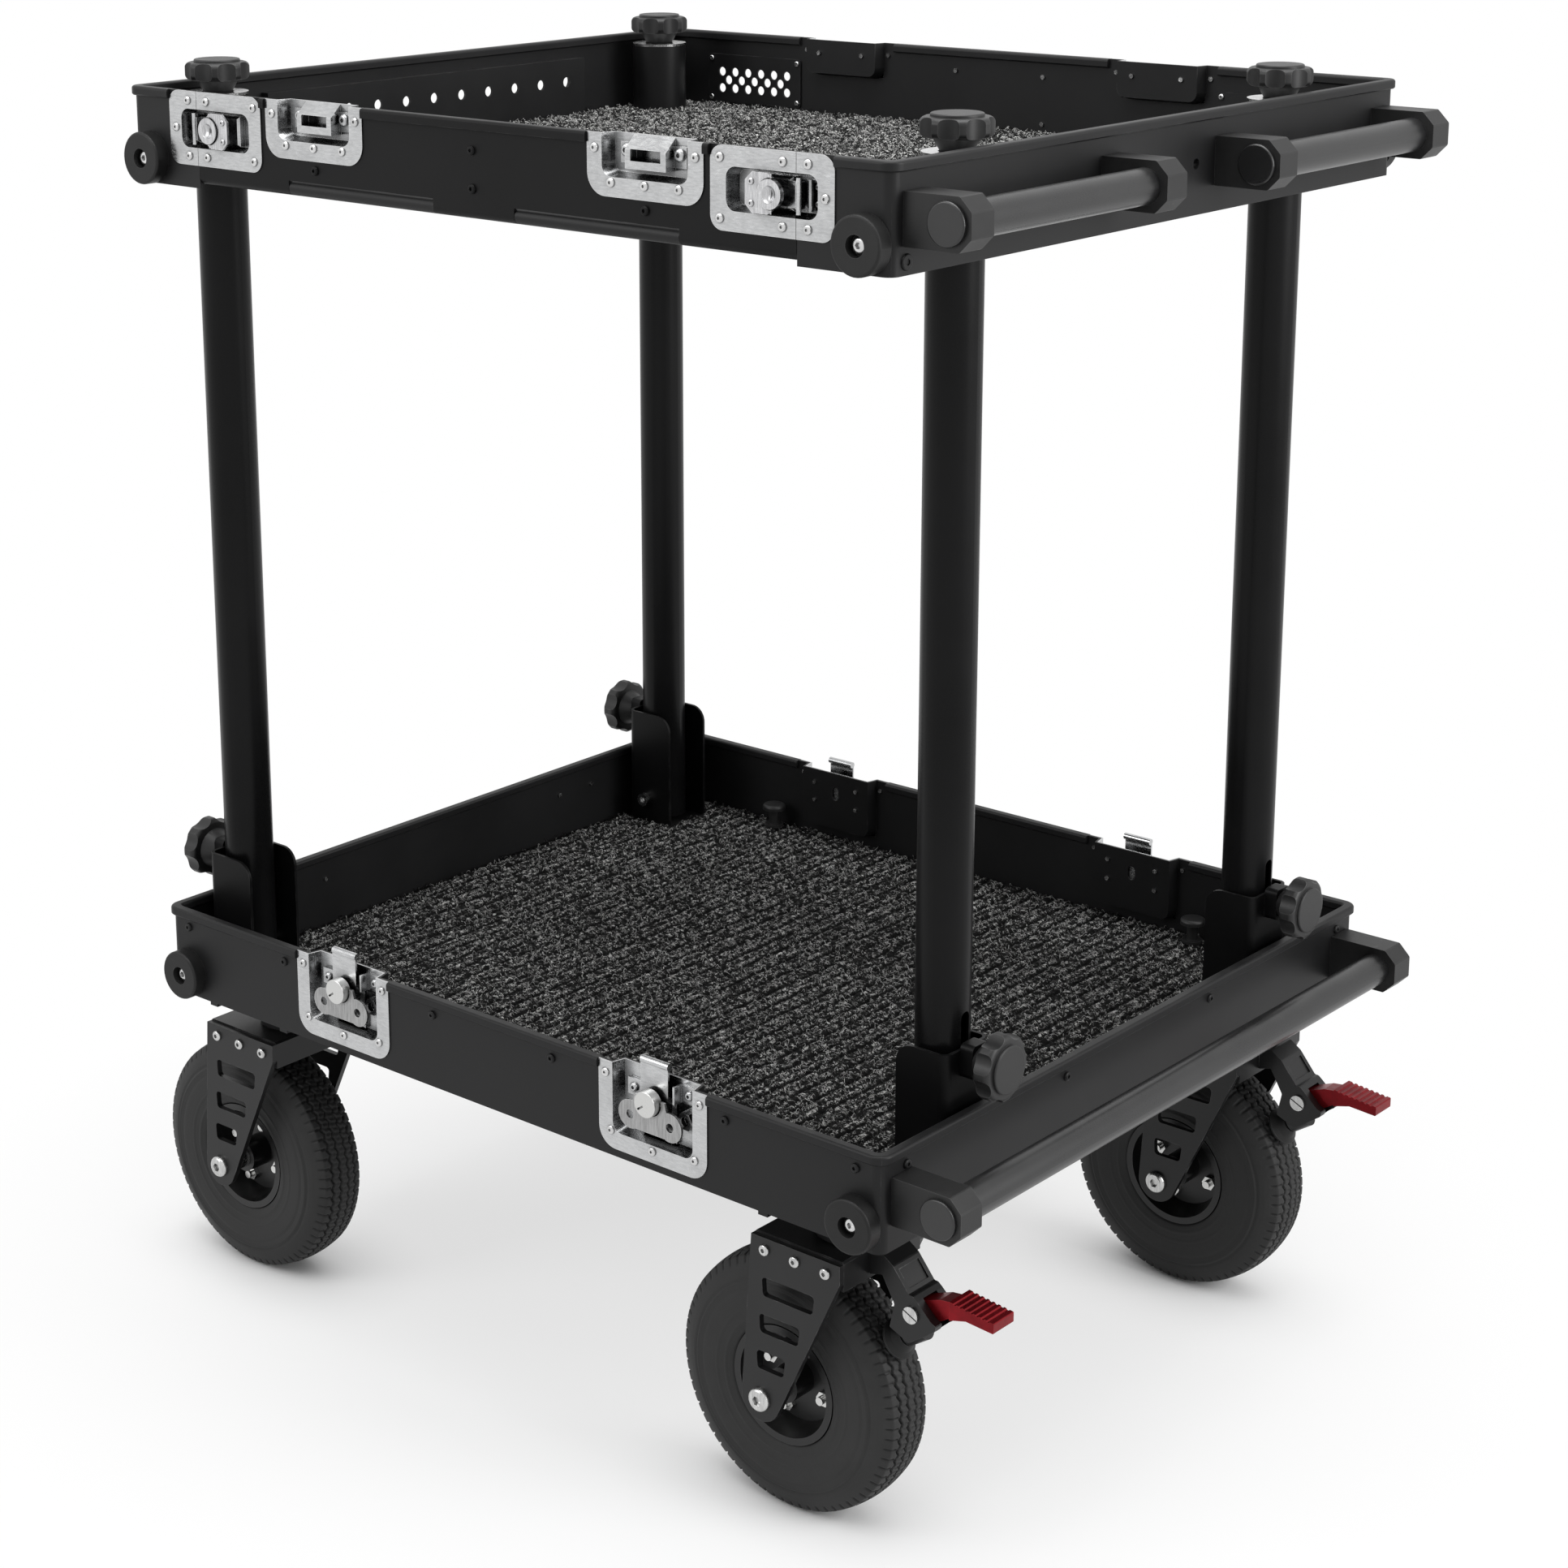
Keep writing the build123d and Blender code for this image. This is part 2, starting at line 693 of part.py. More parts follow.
push_arm_z = lower_top - push_arm_drop
push_arms = [
    handle_arm(-arm_outer_y, push_arm_z, push_arm_reach),
    handle_arm(arm_outer_y - arm_thickness, push_arm_z, push_arm_reach),
]
write("push_handle_arms", push_arms)
write("push_handle_bar", [grip_bar(-arm_outer_y, arm_outer_y, push_arm_z, push_arm_reach)])
lift_arms = []
lift_bars = []
for y0, y1 in ((-arm_outer_y, -lift_arm_inner_y), (lift_arm_inner_y, arm_outer_y)):
    lift_arms.append(handle_arm(y0, lift_arm_z, lift_arm_reach))
    lift_arms.append(handle_arm(y1 - arm_thickness, lift_arm_z, lift_arm_reach))
    lift_bars.append(grip_bar(y0, y1, lift_arm_z, lift_arm_reach))
write("lift_handle_arms", lift_arms)
write("lift_handle_bars", lift_bars)


# Rubber bumpers


def bumper(side, x, base):
    """Round rubber bumper with a sunk screw, on an outer Y wall."""
    disc = Cylinder(
        bumper_radius, bumper_thickness, align=(Align.CENTER, Align.CENTER, Align.MIN)
    )
    disc = fillet(disc.edges().group_by(Axis.Z)[-1], 2.5)
    bore_floor = bumper_thickness - bumper_bore_depth
    disc -= Pos(0, 0, bore_floor) * Cylinder(
        bumper_bore_radius, bumper_thickness, align=(Align.CENTER, Align.CENTER, Align.MIN)
    )
    disc -= Cylinder(bumper_screw_radius, 4 * bumper_thickness)
    return wall_frame(side, x, base + bumper_rise) * disc


write(
    "lower_bumpers",
    [bumper(side, x, lower_base) for side in (-1, 1) for x in (-bumper_x, bumper_x)],
)
write(
    "upper_bumpers",
    [bumper(side, x, upper_base) for side in (-1, 1) for x in (-bumper_x, bumper_x)],
)


# Latch and keeper dishes
# Each dish is drawn in the wall's own frame: x along the wall, y up from the rim's
# top, z outwards from the wall's face.


def dish_mouth(height, open_top):
    """Outline of a dish's recess at the wall's face."""
    low = -height + dish_margin
    high = 2 * dish_depth if open_top else -dish_margin
    mouth = RectangleRounded(dish_width - 2 * dish_margin, high - low, recess_corner)
    return Pos(0, (low + high) / 2) * mouth


def dish(height, open_top):
    """Stamped dish: a flange on the wall and a tapered recess behind it."""
    outline = Pos(0, -height / 2) * Rectangle(dish_width, height)
    if open_top:
        outline = fillet(outline.vertices().group_by(Axis.Y)[0], dish_corner)
    else:
        outline = fillet(outline.vertices(), closed_dish_corner)
    mouth = dish_mouth(height, open_top)
    shell = extrude(offset(mouth, dish_sheet), dish_depth, dir=(0, 0, -1), taper=dish_draft)
    recess = extrude(mouth, dish_depth, dir=(0, 0, -1), taper=dish_draft)
    body = extrude(outline, dish_sheet) + shell - Pos(0, 0, dish_sheet) * recess
    above = span(-dish_width, dish_width, 0, 200, -3 * dish_depth, 3 * dish_depth)
    return body - above


def rivets(places, base):
    """Domed rivet heads with a stem hole, standing on the plane z = base."""
    head = Cylinder(rivet_radius, rivet_height, align=(Align.CENTER, Align.CENTER, Align.MIN))
    head = fillet(head.edges().group_by(Axis.Z)[-1], rivet_height * 0.7)
    head -= Pos(0, 0, rivet_height) * Cylinder(rivet_hole_radius, rivet_height)
    return [Pos(x, y, base) * head for x, y in places]


def rivet_tails(places, base):
    """Closed rivet tails that hang below the plane z = base."""
    tail = rod_z(rivet_tail_radius, base - rivet_tail_height, base)
    return [Pos(x, y, 0) * tail for x, y in places]


def side_rivets(drop):
    """One rivet on each side of an open dish."""
    return [(-dish_rivet_x, -drop), (dish_rivet_x, -drop)]


def row_rivets(height, spread, rise, middle_rise):
    """Three rivets below an open dish, the outer two at their own height."""
    return [(-spread, rise - height), (0, middle_rise - height), (spread, rise - height)]


def side_prism(points, half):
    """Prism along the wall from a profile of (outwards, up) points."""
    plane = Plane(origin=(0, 0, 0), x_dir=(0, 0, 1), z_dir=(-1, 0, 0))
    return extrude(plane * make_face(Polyline(*points, close=True)), half, both=True)


def strike_box():
    """Folded strike of a keeper dish: sloped top, window in front and two ears."""
    back = dish_sheet - dish_depth
    low = -keeper_dish_height + dish_margin + strike_rise
    top = low + strike_height
    half = strike_width / 2
    outer = [(back, low), (0, low), (0, top - strike_slope), (back, top)]
    thick = hook_sheet
    inner = [
        (back, low + thick),
        (-thick, low + thick),
        (-thick, top - strike_slope - thick / 2),
        (back, top - 1.4 * thick),
    ]
    box = side_prism(outer, half) - side_prism(inner, half - thick)
    window_low = low + strike_height * 0.24
    window_high = window_low + strike_height * 0.36
    box -= span(-half * 0.74, half * 0.74, window_low, window_high, -2 * thick, 1)
    ear = span(-half - ear_length, half + ear_length, low + 3, top - 7, back, back + thick)
    ear -= span(-half + thick, half - thick, low - 1, top + 1, back - 1, back + thick + 1)
    box += ear
    screw = button_head(screw_head_radius, screw_head_height)
    middle = (low + top) / 2
    for side in (-1, 1):
        place = Pos(side * (half + ear_length / 2), middle, back + thick)
        box += place * screw
    return box


def lower_latch_base():
    """Fixed parts of a lower latch: base pan, hook plate, side bracket and nut."""
    back = dish_sheet - dish_depth
    pan = span(-21, 21, -latch_post_drop - 39, -latch_post_drop + 4, back, -6)
    pan = chamfer(pan.edges().group_by(Axis.Z)[-1], 3)
    for x in (-9, 9):
        pan += Pos(x, -latch_post_drop - 31, -6) * button_head(3.4, 1.4)
    half = hook_width / 2
    foot = -latch_post_drop - 6
    hook = span(-half, half, foot, hook_rise - 5, -4, -4 + hook_sheet)
    hook += rod_x(hook_roll_radius, -half, half, hook_rise - hook_roll_radius, -4.6)
    hook += span(-half, half, foot, foot + 10, -6, -4)
    bracket = span(23, 44, -22, -5, back, back + 2) + span(23, 25, -22, -5, back, -1)
    bracket += Pos(35, -13, back + 2) * button_head(4.6, 3)
    nut = Pos(35, -36, back) * extrude(RegularPolygon(9, 6), 9)
    nut -= Pos(35, -36, back + 4) * Cylinder(4.5, 20, align=(Align.CENTER, Align.CENTER, Align.MIN))
    guide = span(-38, -22, -30, -14, back, back + 4)
    guide += Pos(-30, -22, back + 4) * button_head(4.6, 3)
    base = [pan + hook, bracket, nut, guide]
    bore = rod_z(latch_post_radius + fit, -6 - 0.5, 10, 0, -latch_post_drop)
    return [piece - bore for piece in base]


def lower_wing():
    """Two-lobed turning wing of a lower latch with its eccentric post."""
    lobes = [Pos(side * lobe_spread, -lobe_drop) * Circle(lobe_radius) for side in (-1, 1)]
    shape = lobes[0] + lobes[1]
    waist_top = latch_cap_radius * 0.3
    waist = Polyline(
        (-lobe_spread, -lobe_drop - lobe_radius * 0.9),
        (lobe_spread, -lobe_drop - lobe_radius * 0.9),
        (lobe_spread, -lobe_drop),
        (latch_cap_radius + 5, waist_top),
        (-latch_cap_radius - 5, waist_top),
        (-lobe_spread, -lobe_drop),
        close=True,
    )
    shape += make_face(waist)
    shape -= Circle(latch_cap_radius + 1)
    for side in (-1, 1):
        shape -= Pos(side * lobe_spread, -lobe_drop) * Circle(lobe_hole_radius)
    plate = Pos(0, 0, wing_gap) * extrude(shape, wing_thickness)
    post = rod_z(latch_cap_radius, wing_gap, latch_cap_height)
    post = fillet(post.edges().group_by(Axis.Z)[-1], 0.8)
    slot = span(-4, 4, -1, 1, latch_cap_height - 1.5, latch_cap_height + 1)
    post -= Pos(-5, -4, 0) * Rot(0, 0, 35) * slot
    shaft = rod_z(latch_post_radius, -6, wing_gap + 1)
    pin_reach = latch_cap_radius + 4
    pin = rod_x(cross_pin_radius, -pin_reach, pin_reach, 0, wing_gap + wing_thickness / 2)
    return plate + post + shaft + pin


def corner_latch_base(hand):
    """Fixed parts of a corner latch: the panel's block and hook, the tray's strike."""
    back = dish_sheet - dish_depth
    block = span(-14, 30, -14, 14, back, -5)
    block = chamfer(block.edges().group_by(Axis.Z)[-1], 2)
    hook = span(-24, -10, -11, 11, -6.5, -4.5) + rod_y(2.2, -15, 15, -26, 1.6)
    hook += span(-26, -22.4, -11, 11, -6.5, 1.6)
    moving = block + hook
    moving -= rod_z(latch_post_radius + fit, -8, 10)
    strike = span(-40, -29, -12.5, 12.5, back, back + 2)
    strike += rod_y(2.4, -13, 13, -31.5, -7)
    for y in (-11.5, 11.5):
        strike += span(-33, -30, y - 1, y + 1, back, -7)
    for y in (-7, 7):
        strike += Pos(-36.5, y, back + 2) * button_head(3, 2)
    if hand > 0:
        return mirror(moving, Plane.YZ), mirror(strike, Plane.YZ)
    return moving, strike


def corner_wing(hand):
    """Half-octagon turning wing of a corner latch with its dished post."""
    outline = Polyline(
        (-7, 10),
        (3, 17),
        (19, 17),
        (26.5, 10),
        (26.5, -10),
        (19, -17),
        (3, -17),
        (-7, -10),
        close=True,
    )
    shape = make_face(outline) - Circle(latch_cap_radius + 1)
    plate = Pos(0, 0, corner_wing_gap) * extrude(shape, wing_thickness)
    for y in (-9, 9):
        plate += Pos(20, y, corner_wing_gap + wing_thickness) * button_head(3, 1.4)
    post = rod_z(latch_cap_radius, corner_wing_gap, corner_wing_gap + wing_thickness + 2)
    post -= Pos(0, 0, corner_wing_gap + wing_thickness + 8) * Sphere(9.5)
    shaft = rod_z(latch_post_radius, -8, corner_wing_gap + 1)
    pin_reach = latch_cap_radius + 4
    pin_z = corner_wing_gap + wing_thickness / 2
    pin = rod_y(cross_pin_radius, -pin_reach, pin_reach, 0, pin_z)
    piece = plate + post + shaft + pin
    return mirror(piece, Plane.YZ) if hand > 0 else piece


def cover_shell(height, keyhole_drop):
    """Pressed cover round the back of an open dish, with a key hole if a drop is given."""
    mouth = dish_mouth(height, True)
    room = offset(mouth, dish_sheet + rest_gap)
    skin = offset(mouth, dish_sheet + rest_gap + cover_sheet)
    inner = extrude(room, dish_depth, dir=(0, 0, -1), taper=dish_draft)
    outer = extrude(skin, dish_depth + cover_sheet, dir=(0, 0, -1), taper=dish_draft)
    cover = outer - inner
    cover -= span(-dish_width, dish_width, -2 * height, 200, -sheet, 50)
    cover -= span(-dish_width, dish_width, 0, 200, -50, 50)
    if keyhole_drop:
        keyhole = extrude(SlotOverall(keyhole_length, keyhole_width, rotation=90), 2 * dish_depth)
        cover -= Pos(0, -keyhole_drop, -2 * dish_depth) * keyhole
    return cover


dishes = []
covers = []
lower_rivets = []
cover_back = -dish_depth - cover_sheet
lower_cover_rivets = [(-30.5, -15.3), (30.5, -15.3), (-30.5, -37.3), (30.5, -37.3)]
keeper_cover_rivets = [(-29.7, -14.3), (29.7, -14.3)]
for side in (-1, 1):
    for x in (-dish_x, dish_x):
        place = wall_frame(side, x, lower_top)
        dishes.append(place * dish(lower_dish_height, True))
        dishes += [place * piece for piece in lower_latch_base()]
        covers.append(place * cover_shell(lower_dish_height, latch_post_drop))
        sides = side_rivets(lower_side_rivet_drop)
        row = row_rivets(lower_dish_height, lower_row_x, lower_row_rise, lower_middle_rise)
        heads = rivets(sides + row, dish_sheet) + rivet_tails(sides, -sheet)
        heads += rivet_tails(lower_cover_rivets, cover_back)
        lower_rivets += [place * head for head in heads]
        side_name = "left" if side < 0 else "right"
        end_name = "front" if x < 0 else "rear"
        wing = place * Pos(0, -latch_post_drop, 0) * lower_wing()
        write(f"lower_{side_name}_{end_name}_latch", [wing])
write("lower_latch_dishes", dishes)
write("latch_cover_plates", covers)

# Closed corner dishes, sawn through at the drop side's seam, and keeper dishes.
corner_middle = -corner_dish_height / 2
corner_rivets = [(-38.2, 26.5), (-11.8, 26.5), (-38.2, -26.5), (-11.8, -26.5), (-56.2, 0)]
corner_rivets += [(55, 25.3), (55, -25.3)]
outside = 2 * tray_length
panel_dishes = []
panel_rivets = []
tray_dishes = []
upper_rivets = []
for hand in (-1, 1):
    place = wall_frame(-1, hand * corner_dish_x, upper_top)
    whole = place * dish(corner_dish_height, False)
    inner_x = seam_x - seam_gap
    panel_box = span(-inner_x, inner_x, -outside, 0, 0, outside)
    tray_box = span(*sorted((hand * seam_x, hand * outside)), -outside, 0, 0, outside)
    panel_dishes.append(whole & panel_box)
    tray_dishes.append(whole & tray_box)
    for u, v in corner_rivets:
        head = rivets([(-hand * u, corner_middle + v)], dish_sheet)[0]
        if u < -seam_shift:
            upper_rivets.append(place * head)
        else:
            panel_rivets.append(place * head)
    latch_place = wall_frame(-1, hand * corner_latch_x, upper_top + corner_middle)
    moving, strike = corner_latch_base(hand)
    panel_dishes.append(latch_place * moving)
    tray_dishes.append(latch_place * strike)
    end_name = "front" if hand < 0 else "rear"
    write(f"drop_side_{end_name}_latch", [latch_place * corner_wing(hand)])

keeper_covers = []
for x in (-dish_x, dish_x):
    for side, shells, heads in (
        (-1, panel_dishes, panel_rivets),
        (1, tray_dishes, upper_rivets),
    ):
        place = wall_frame(side, x, upper_top)
        shells.append(place * dish(keeper_dish_height, True))
        shells.append(place * strike_box())
        sides = side_rivets(keeper_side_rivet_drop)
        row = row_rivets(keeper_dish_height, keeper_row_x, keeper_row_rise, keeper_row_rise)
        pieces = rivets(sides + row, dish_sheet) + rivet_tails(sides, -sheet)
        heads += [place * piece for piece in pieces]
    place = wall_frame(1, x, upper_top)
    keeper_covers.append(place * cover_shell(keeper_dish_height, 0))
    upper_rivets += [place * tail for tail in rivet_tails(keeper_cover_rivets, cover_back)]
write("drop_side_dishes", panel_dishes)
write("drop_side_rivets", panel_rivets)
write("tray_dishes", tray_dishes)


# Drop side of the upper tray

panel_half = seam_x - seam_gap
panel = span(-panel_half, panel_half, -wall_y, -wall_y + sheet, hinge_z, upper_top)
bead = span(
    -panel_half,
    panel_half,
    -wall_y - rim_lip,
    -wall_y + sheet + rim_lip,
    upper_top - rim_height,
    upper_top,
)
bead = fillet(bead.edges().filter_by(Axis.X).group_by(Axis.Z)[-1], rim_lip * 0.7)
panel += bead
panel += rod_x(barrel_radius, -panel_half, panel_half, hinge_y, hinge_z)
for hand in (-1, 1):
    x0, x1 = sorted((hand * (barrel_inner_x - 0.5), hand * (barrel_outer_x + 0.5)))
    panel -= span(
        x0, x1, -wall_y - 10, -wall_y + 30, hinge_z - 20, hinge_z + barrel_radius + hinge_side_gap
    )
panel -= rod_x(hinge_pin_radius + fit, -panel_half - 1, panel_half + 1, hinge_y, hinge_z)
for x in (-dish_x, dish_x):
    panel -= rim_relief(-1, x, dish_width + 1, upper_top)
    panel -= dish_window(-1, x, upper_top, keeper_dish_height, True)
for x in (-corner_dish_x, corner_dish_x):
    panel -= rim_relief(-1, x, dish_width + 1, upper_top)
    panel -= dish_window(-1, x, upper_top, corner_dish_height, False)
panel_screws = [(-dish_x, -62.5), (dish_x, -62.5), (0, -27.5), (0, -61.5)]
small_screw = button_head(screw_head_radius * 0.8, screw_head_height * 0.8)
drop_side = [panel]
for x, y in panel_screws:
    drop_side.append(wall_frame(-1, x, upper_top) * Pos(0, y, 0) * small_screw)
write("drop_side", drop_side)


# Fittings on the upper tray's front and right walls

rail_x = -wall_x + sheet
rail_back = rail_x + rail_depth
rail_high = upper_base + rail_top
rail = span(rail_x, rail_back, -rail_half_length, rail_half_length, upper_deck, rail_high)
rail -= span(
    rail_x - 1,
    rail_back - rail_sheet,
    -rail_half_length + rail_sheet,
    rail_half_length - rail_sheet,
    upper_deck - 1,
    rail_high - rail_sheet,
)
for hole in rail_holes:
    rail -= hole
write("cable_rail", [rail])

wall_plates = list(keeper_covers)
plate_face = wall_y - sheet
for x in (-plate_x, plate_x):
    plate = extrude(RectangleRounded(plate_length, plate_height, 4), plate_sheet)
    for row, count in ((1, 6), (0, 5), (-1, 6)):
        for i in range(count):
            hole_x = (i - (count - 1) / 2) * plate_hole_pitch
            hole = Cylinder(plate_hole_radius, 4 * plate_sheet)
            plate -= Pos(hole_x, row * plate_row_pitch - 2, 0) * hole
    frame = Plane(origin=(x, plate_face, plate_z), x_dir=(-1, 0, 0), z_dir=(0, 1, 0)).location
    wall_plates.append(frame * Pos(0, 0, -plate_sheet) * plate)
    for u in (-1, 1):
        for v in (-1, 1):
            screw_x = u * (plate_length / 2 - 5)
            screw_z = v * (plate_height / 2 - 5)
            screw = Pos(screw_x, screw_z, -plate_sheet) * Rot(180, 0, 0) * button_head(3.2, 1.8)
            upper_rivets.append(frame * screw)
write("right_wall_plates", wall_plates)

right_wall = wall_frame(1, 0, upper_base)
middle_rivets = [(-56.7, 19.4), (56.7, 19.4), (-56.7, 69.1), (56.7, 69.1)]
upper_rivets += [right_wall * tail for tail in rivet_tails(middle_rivets, -sheet)]
front_wall = Plane(origin=(-wall_x, 0, lower_top), x_dir=(0, -1, 0), z_dir=(-1, 0, 0)).location
front_rivets = [(-241, -31), (-186, -31), (186, -31), (241, -31)]
lower_rivets += [front_wall * tail for tail in rivet_tails(front_rivets, -sheet)]

posts = []
for x in (-post_x, post_x):
    top = lower_deck + post_height
    post = rod_z(post_radius, lower_deck, top, x, post_y)
    cap = rod_z(post_head_radius, top, top + post_head_height, x, post_y)
    cap = fillet(cap.edges().group_by(Axis.Z)[-1], post_head_height * 0.6)
    foot_base = lower_deck + carpet_thickness
    foot = rod_z(post_head_radius * 0.8, foot_base, foot_base + 3, x, post_y)
    posts.append(post + cap + foot)
write("tie_down_posts", posts)


def bumper_screw(side, x, base):
    """Screw in a bumper's bore, its head resting on the bore's floor."""
    floor = bumper_thickness - bumper_bore_depth
    screw = Pos(0, 0, floor) * button_head(bumper_head_radius, bumper_head_height)
    screw += rod_z(bumper_screw_radius - fit, 0, floor + 1)
    return wall_frame(side, x, base + bumper_rise) * screw


for side in (-1, 1):
    for x in (-bumper_x, bumper_x):
        lower_rivets.append(bumper_screw(side, x, lower_base))
        upper_rivets.append(bumper_screw(side, x, upper_base))
for hand in (-1, 1):
    near = hand * (barrel_inner_x - panel_knuckle)
    far = hand * (barrel_outer_x + panel_knuckle)
    x0, x1 = sorted((near, far))
    upper_rivets.append(rod_x(hinge_pin_radius, x0, x1, hinge_y, hinge_z))
write("lower_hardware", lower_rivets + pivot_bolts)
write("upper_hardware", upper_rivets + socket_rings)

# Black screws that hold the handles and hidden brackets to the tray walls.
lower_screw_z = lower_top - 18
wall_screws = tray_pieces(lower_tray, lower_base)
for x in (wall_x - 28, wall_x - 175, 79):
    for end in (-x, x):
        for side in (-1, 1):
            wall_screws.append(wall_frame(side, end, lower_screw_z) * small_screw)
for y in (wall_y - 35, 122):
    for end in (-y, y):
        face = Pos(wall_x, end, lower_screw_z) * Rot(0, 90, 0)
        wall_screws.append(face * small_screw)
write("lower_tray", wall_screws)
plug = Pos(wall_x, 19 - wall_y, upper_base + 11) * Rot(0, 90, 0) * button_head(7, 2)
write("upper_tray", tray_pieces(upper_tray, upper_base) + hinge_leaves + [plug])


# Casters: each is drawn with its axle at x = 0 and then moved into place


def at_caster(shape, x, y):
    """Move a caster piece from the axle's own frame to its place on the cart."""
    return Pos(x - trail, y, 0) * shape


def mirrored_pair(shape):
    """A piece and its mirror image on the other side of the wheel."""
    return [shape, mirror(shape, Plane.XZ)]


head_start = trail - head_length / 2 - head_offset
head_end = head_start + head_length


def fork_side():
    """One fork plate with three windows, on the wheel's +Y side."""
    corner_z = head_top - plate_shoulder
    shoulders = Polyline((head_start, plate_top), (head_end, plate_top), (head_end, corner_z))
    boss = Pos(0, wheel_radius) * Circle(axle_boss_radius)
    outline = make_hull(shoulders.edges() + boss.edges())
    slope = (head_end - axle_boss_radius) / (corner_z - wheel_radius + 9)
    for window_top in (250, 213, 176):
        window_low = window_top - 18.5
        right_top = head_end - (corner_z - window_top) * slope - 19
        right_low = head_end - (corner_z - window_low) * slope - 13
        left = head_start - (plate_top - window_top) * 0.083 + 16
        window = Polyline(
            (left, window_top),
            (right_top, window_top),
            (right_low, window_low),
            (left + 1, window_low),
            close=True,
        )
        window = make_face(window)
        outline -= fillet(window.vertices(), 4)
    plate = extrude(Plane.XZ * outline, -fork_plate)
    plate = Pos(0, fork_inner_half, 0) * plate
    for x in fork_screw_places:
        plate -= rod_y(fork_screw_radius + fit, 0, 100, x, fork_screw_z)
    return plate - rod_y(axle_radius + fit, 0, 100, 0, wheel_radius)


head_middle = (head_start + head_end) / 2
fork_screw_places = [head_middle + i * fork_screw_pitch for i in (-1, 0, 1)]
fork_screw_z = head_top - fork_screw_drop - 3

head_low = head_top - head_height
head_block = span(head_start, head_end, -fork_inner_half, fork_inner_half, head_low, head_top)
head_block = chamfer(head_block.edges().filter_by(Axis.Y).group_by(Axis.Z)[-1], 2)
head_block -= rod_z(kingpin_radius + fit, head_low - 1, head_top + 1, trail, 0)
for x in fork_screw_places:
    shank_end = fork_inner_half - fork_screw_length
    for side in (-1, 1):
        y0, y1 = sorted((side * (shank_end - 1), side * 100))
        head_block -= rod_y(fork_screw_radius + fit, y0, y1, x, fork_screw_z)

housing_low = head_top + 2
hardware = []
for x in fork_screw_places:
    face = fork_inner_half + fork_plate
    shank_end = fork_inner_half - fork_screw_length
    shank = rod_y(fork_screw_radius, shank_end, face + 1, x, fork_screw_z)
    head = button_head(screw_head_radius, screw_head_height)
    hardware += mirrored_pair(shank + Pos(x, face, fork_screw_z) * Rot(-90, 0, 0) * head)
axle_end = fork_inner_half + fork_plate
axle = rod_y(axle_radius, -axle_end - 1, axle_end + 1, 0, wheel_radius)
axle_head = button_head(axle_head_radius, axle_head_height)
axle_head = Pos(0, axle_end, wheel_radius) * Rot(-90, 0, 0) * axle_head
for half in mirrored_pair(axle_head):
    axle += half
hardware.append(axle)
spacer = rod_y(axle_head_radius, hub_half_length + rest_gap, fork_inner_half, 0, wheel_radius)
spacer -= rod_y(axle_radius + fit, 0, 100, 0, wheel_radius)
hardware += mirrored_pair(spacer)
kingpin = rod_z(kingpin_radius, head_low + 2, kingpin_top, trail, 0)
mount_top = lower_base - slide_rail_drop + 2 + slide_rail_wall + mount_plate_thickness
kingpin += rod_z(kingpin_radius * 1.6, mount_top + rest_gap, kingpin_top, trail, 0)
bearing = rod_z(swivel_radius * 0.8, head_top, housing_low - rest_gap, trail, 0)
bearing -= rod_z(kingpin_radius + fit, head_top - 1, housing_low, trail, 0)
hardware += [kingpin, bearing]


def revolve_section(points):
    """Turn a (radius, y) section into a ring about the wheel's axle."""
    section = Plane.XY * make_face(Polyline(*points, close=True))
    ring = revolve(section, Axis.Y)
    return Pos(0, 0, wheel_radius) * ring


def wheel_rim():
    """Two-part rim with a web, hub, clamp bolts, nuts and a valve stem."""
    lip = rim_lip_y
    seat = rim_seat_radius
    half = [
        (rim_lip_radius, lip),
        (rim_lip_radius, lip - rim_sheet),
        (seat, lip - rim_sheet),
        (seat, -lip + rim_sheet),
        (rim_lip_radius, -lip + rim_sheet),
        (rim_lip_radius, -lip),
        (seat - rim_sheet, -lip),
        (rim_dish_radius, -rim_web_half),
        (hub_radius, -rim_web_half),
        (hub_radius, -hub_half_length),
        (axle_radius + fit, -hub_half_length),
        (axle_radius + fit, hub_half_length),
        (hub_radius, hub_half_length),
        (hub_radius, rim_web_half),
        (rim_dish_radius, rim_web_half),
        (seat - rim_sheet, lip),
    ]
    rim = revolve_section(half)
    bolts = []
    for i in range(rim_bolt_count):
        angle = math.radians(rim_bolt_angle + 360 / rim_bolt_count * i)
        x = rim_bolt_circle * math.cos(angle)
        z = wheel_radius + rim_bolt_circle * math.sin(angle)
        rim -= rod_y(rim_bolt_radius + fit, -100, 100, x, z)
        end = rim_web_half + 10
        bolt = rod_y(rim_bolt_radius, -end, rim_web_half + 1, x, z)
        hexagon = extrude(RegularPolygon(rim_bolt_radius * 1.9, 6), 5)
        bolt += Pos(x, rim_web_half, z) * Rot(-90, 0, 0) * hexagon
        nut = hexagon - Cylinder(rim_bolt_radius, 20)
        bolts += [bolt, Pos(x, -rim_web_half, z) * Rot(90, 0, 0) * nut]
    angle = math.radians(rim_bolt_angle + 180 / rim_bolt_count)
    x = rim_bolt_circle * math.cos(angle)
    z = wheel_radius + rim_bolt_circle * math.sin(angle)
    valve = rod_y(3, -rim_web_half - 14, -rim_web_half, x, z)
    valve += rod_y(4.4, -rim_web_half - 4, -rim_web_half, x, z)
    return [rim] + bolts + [valve]


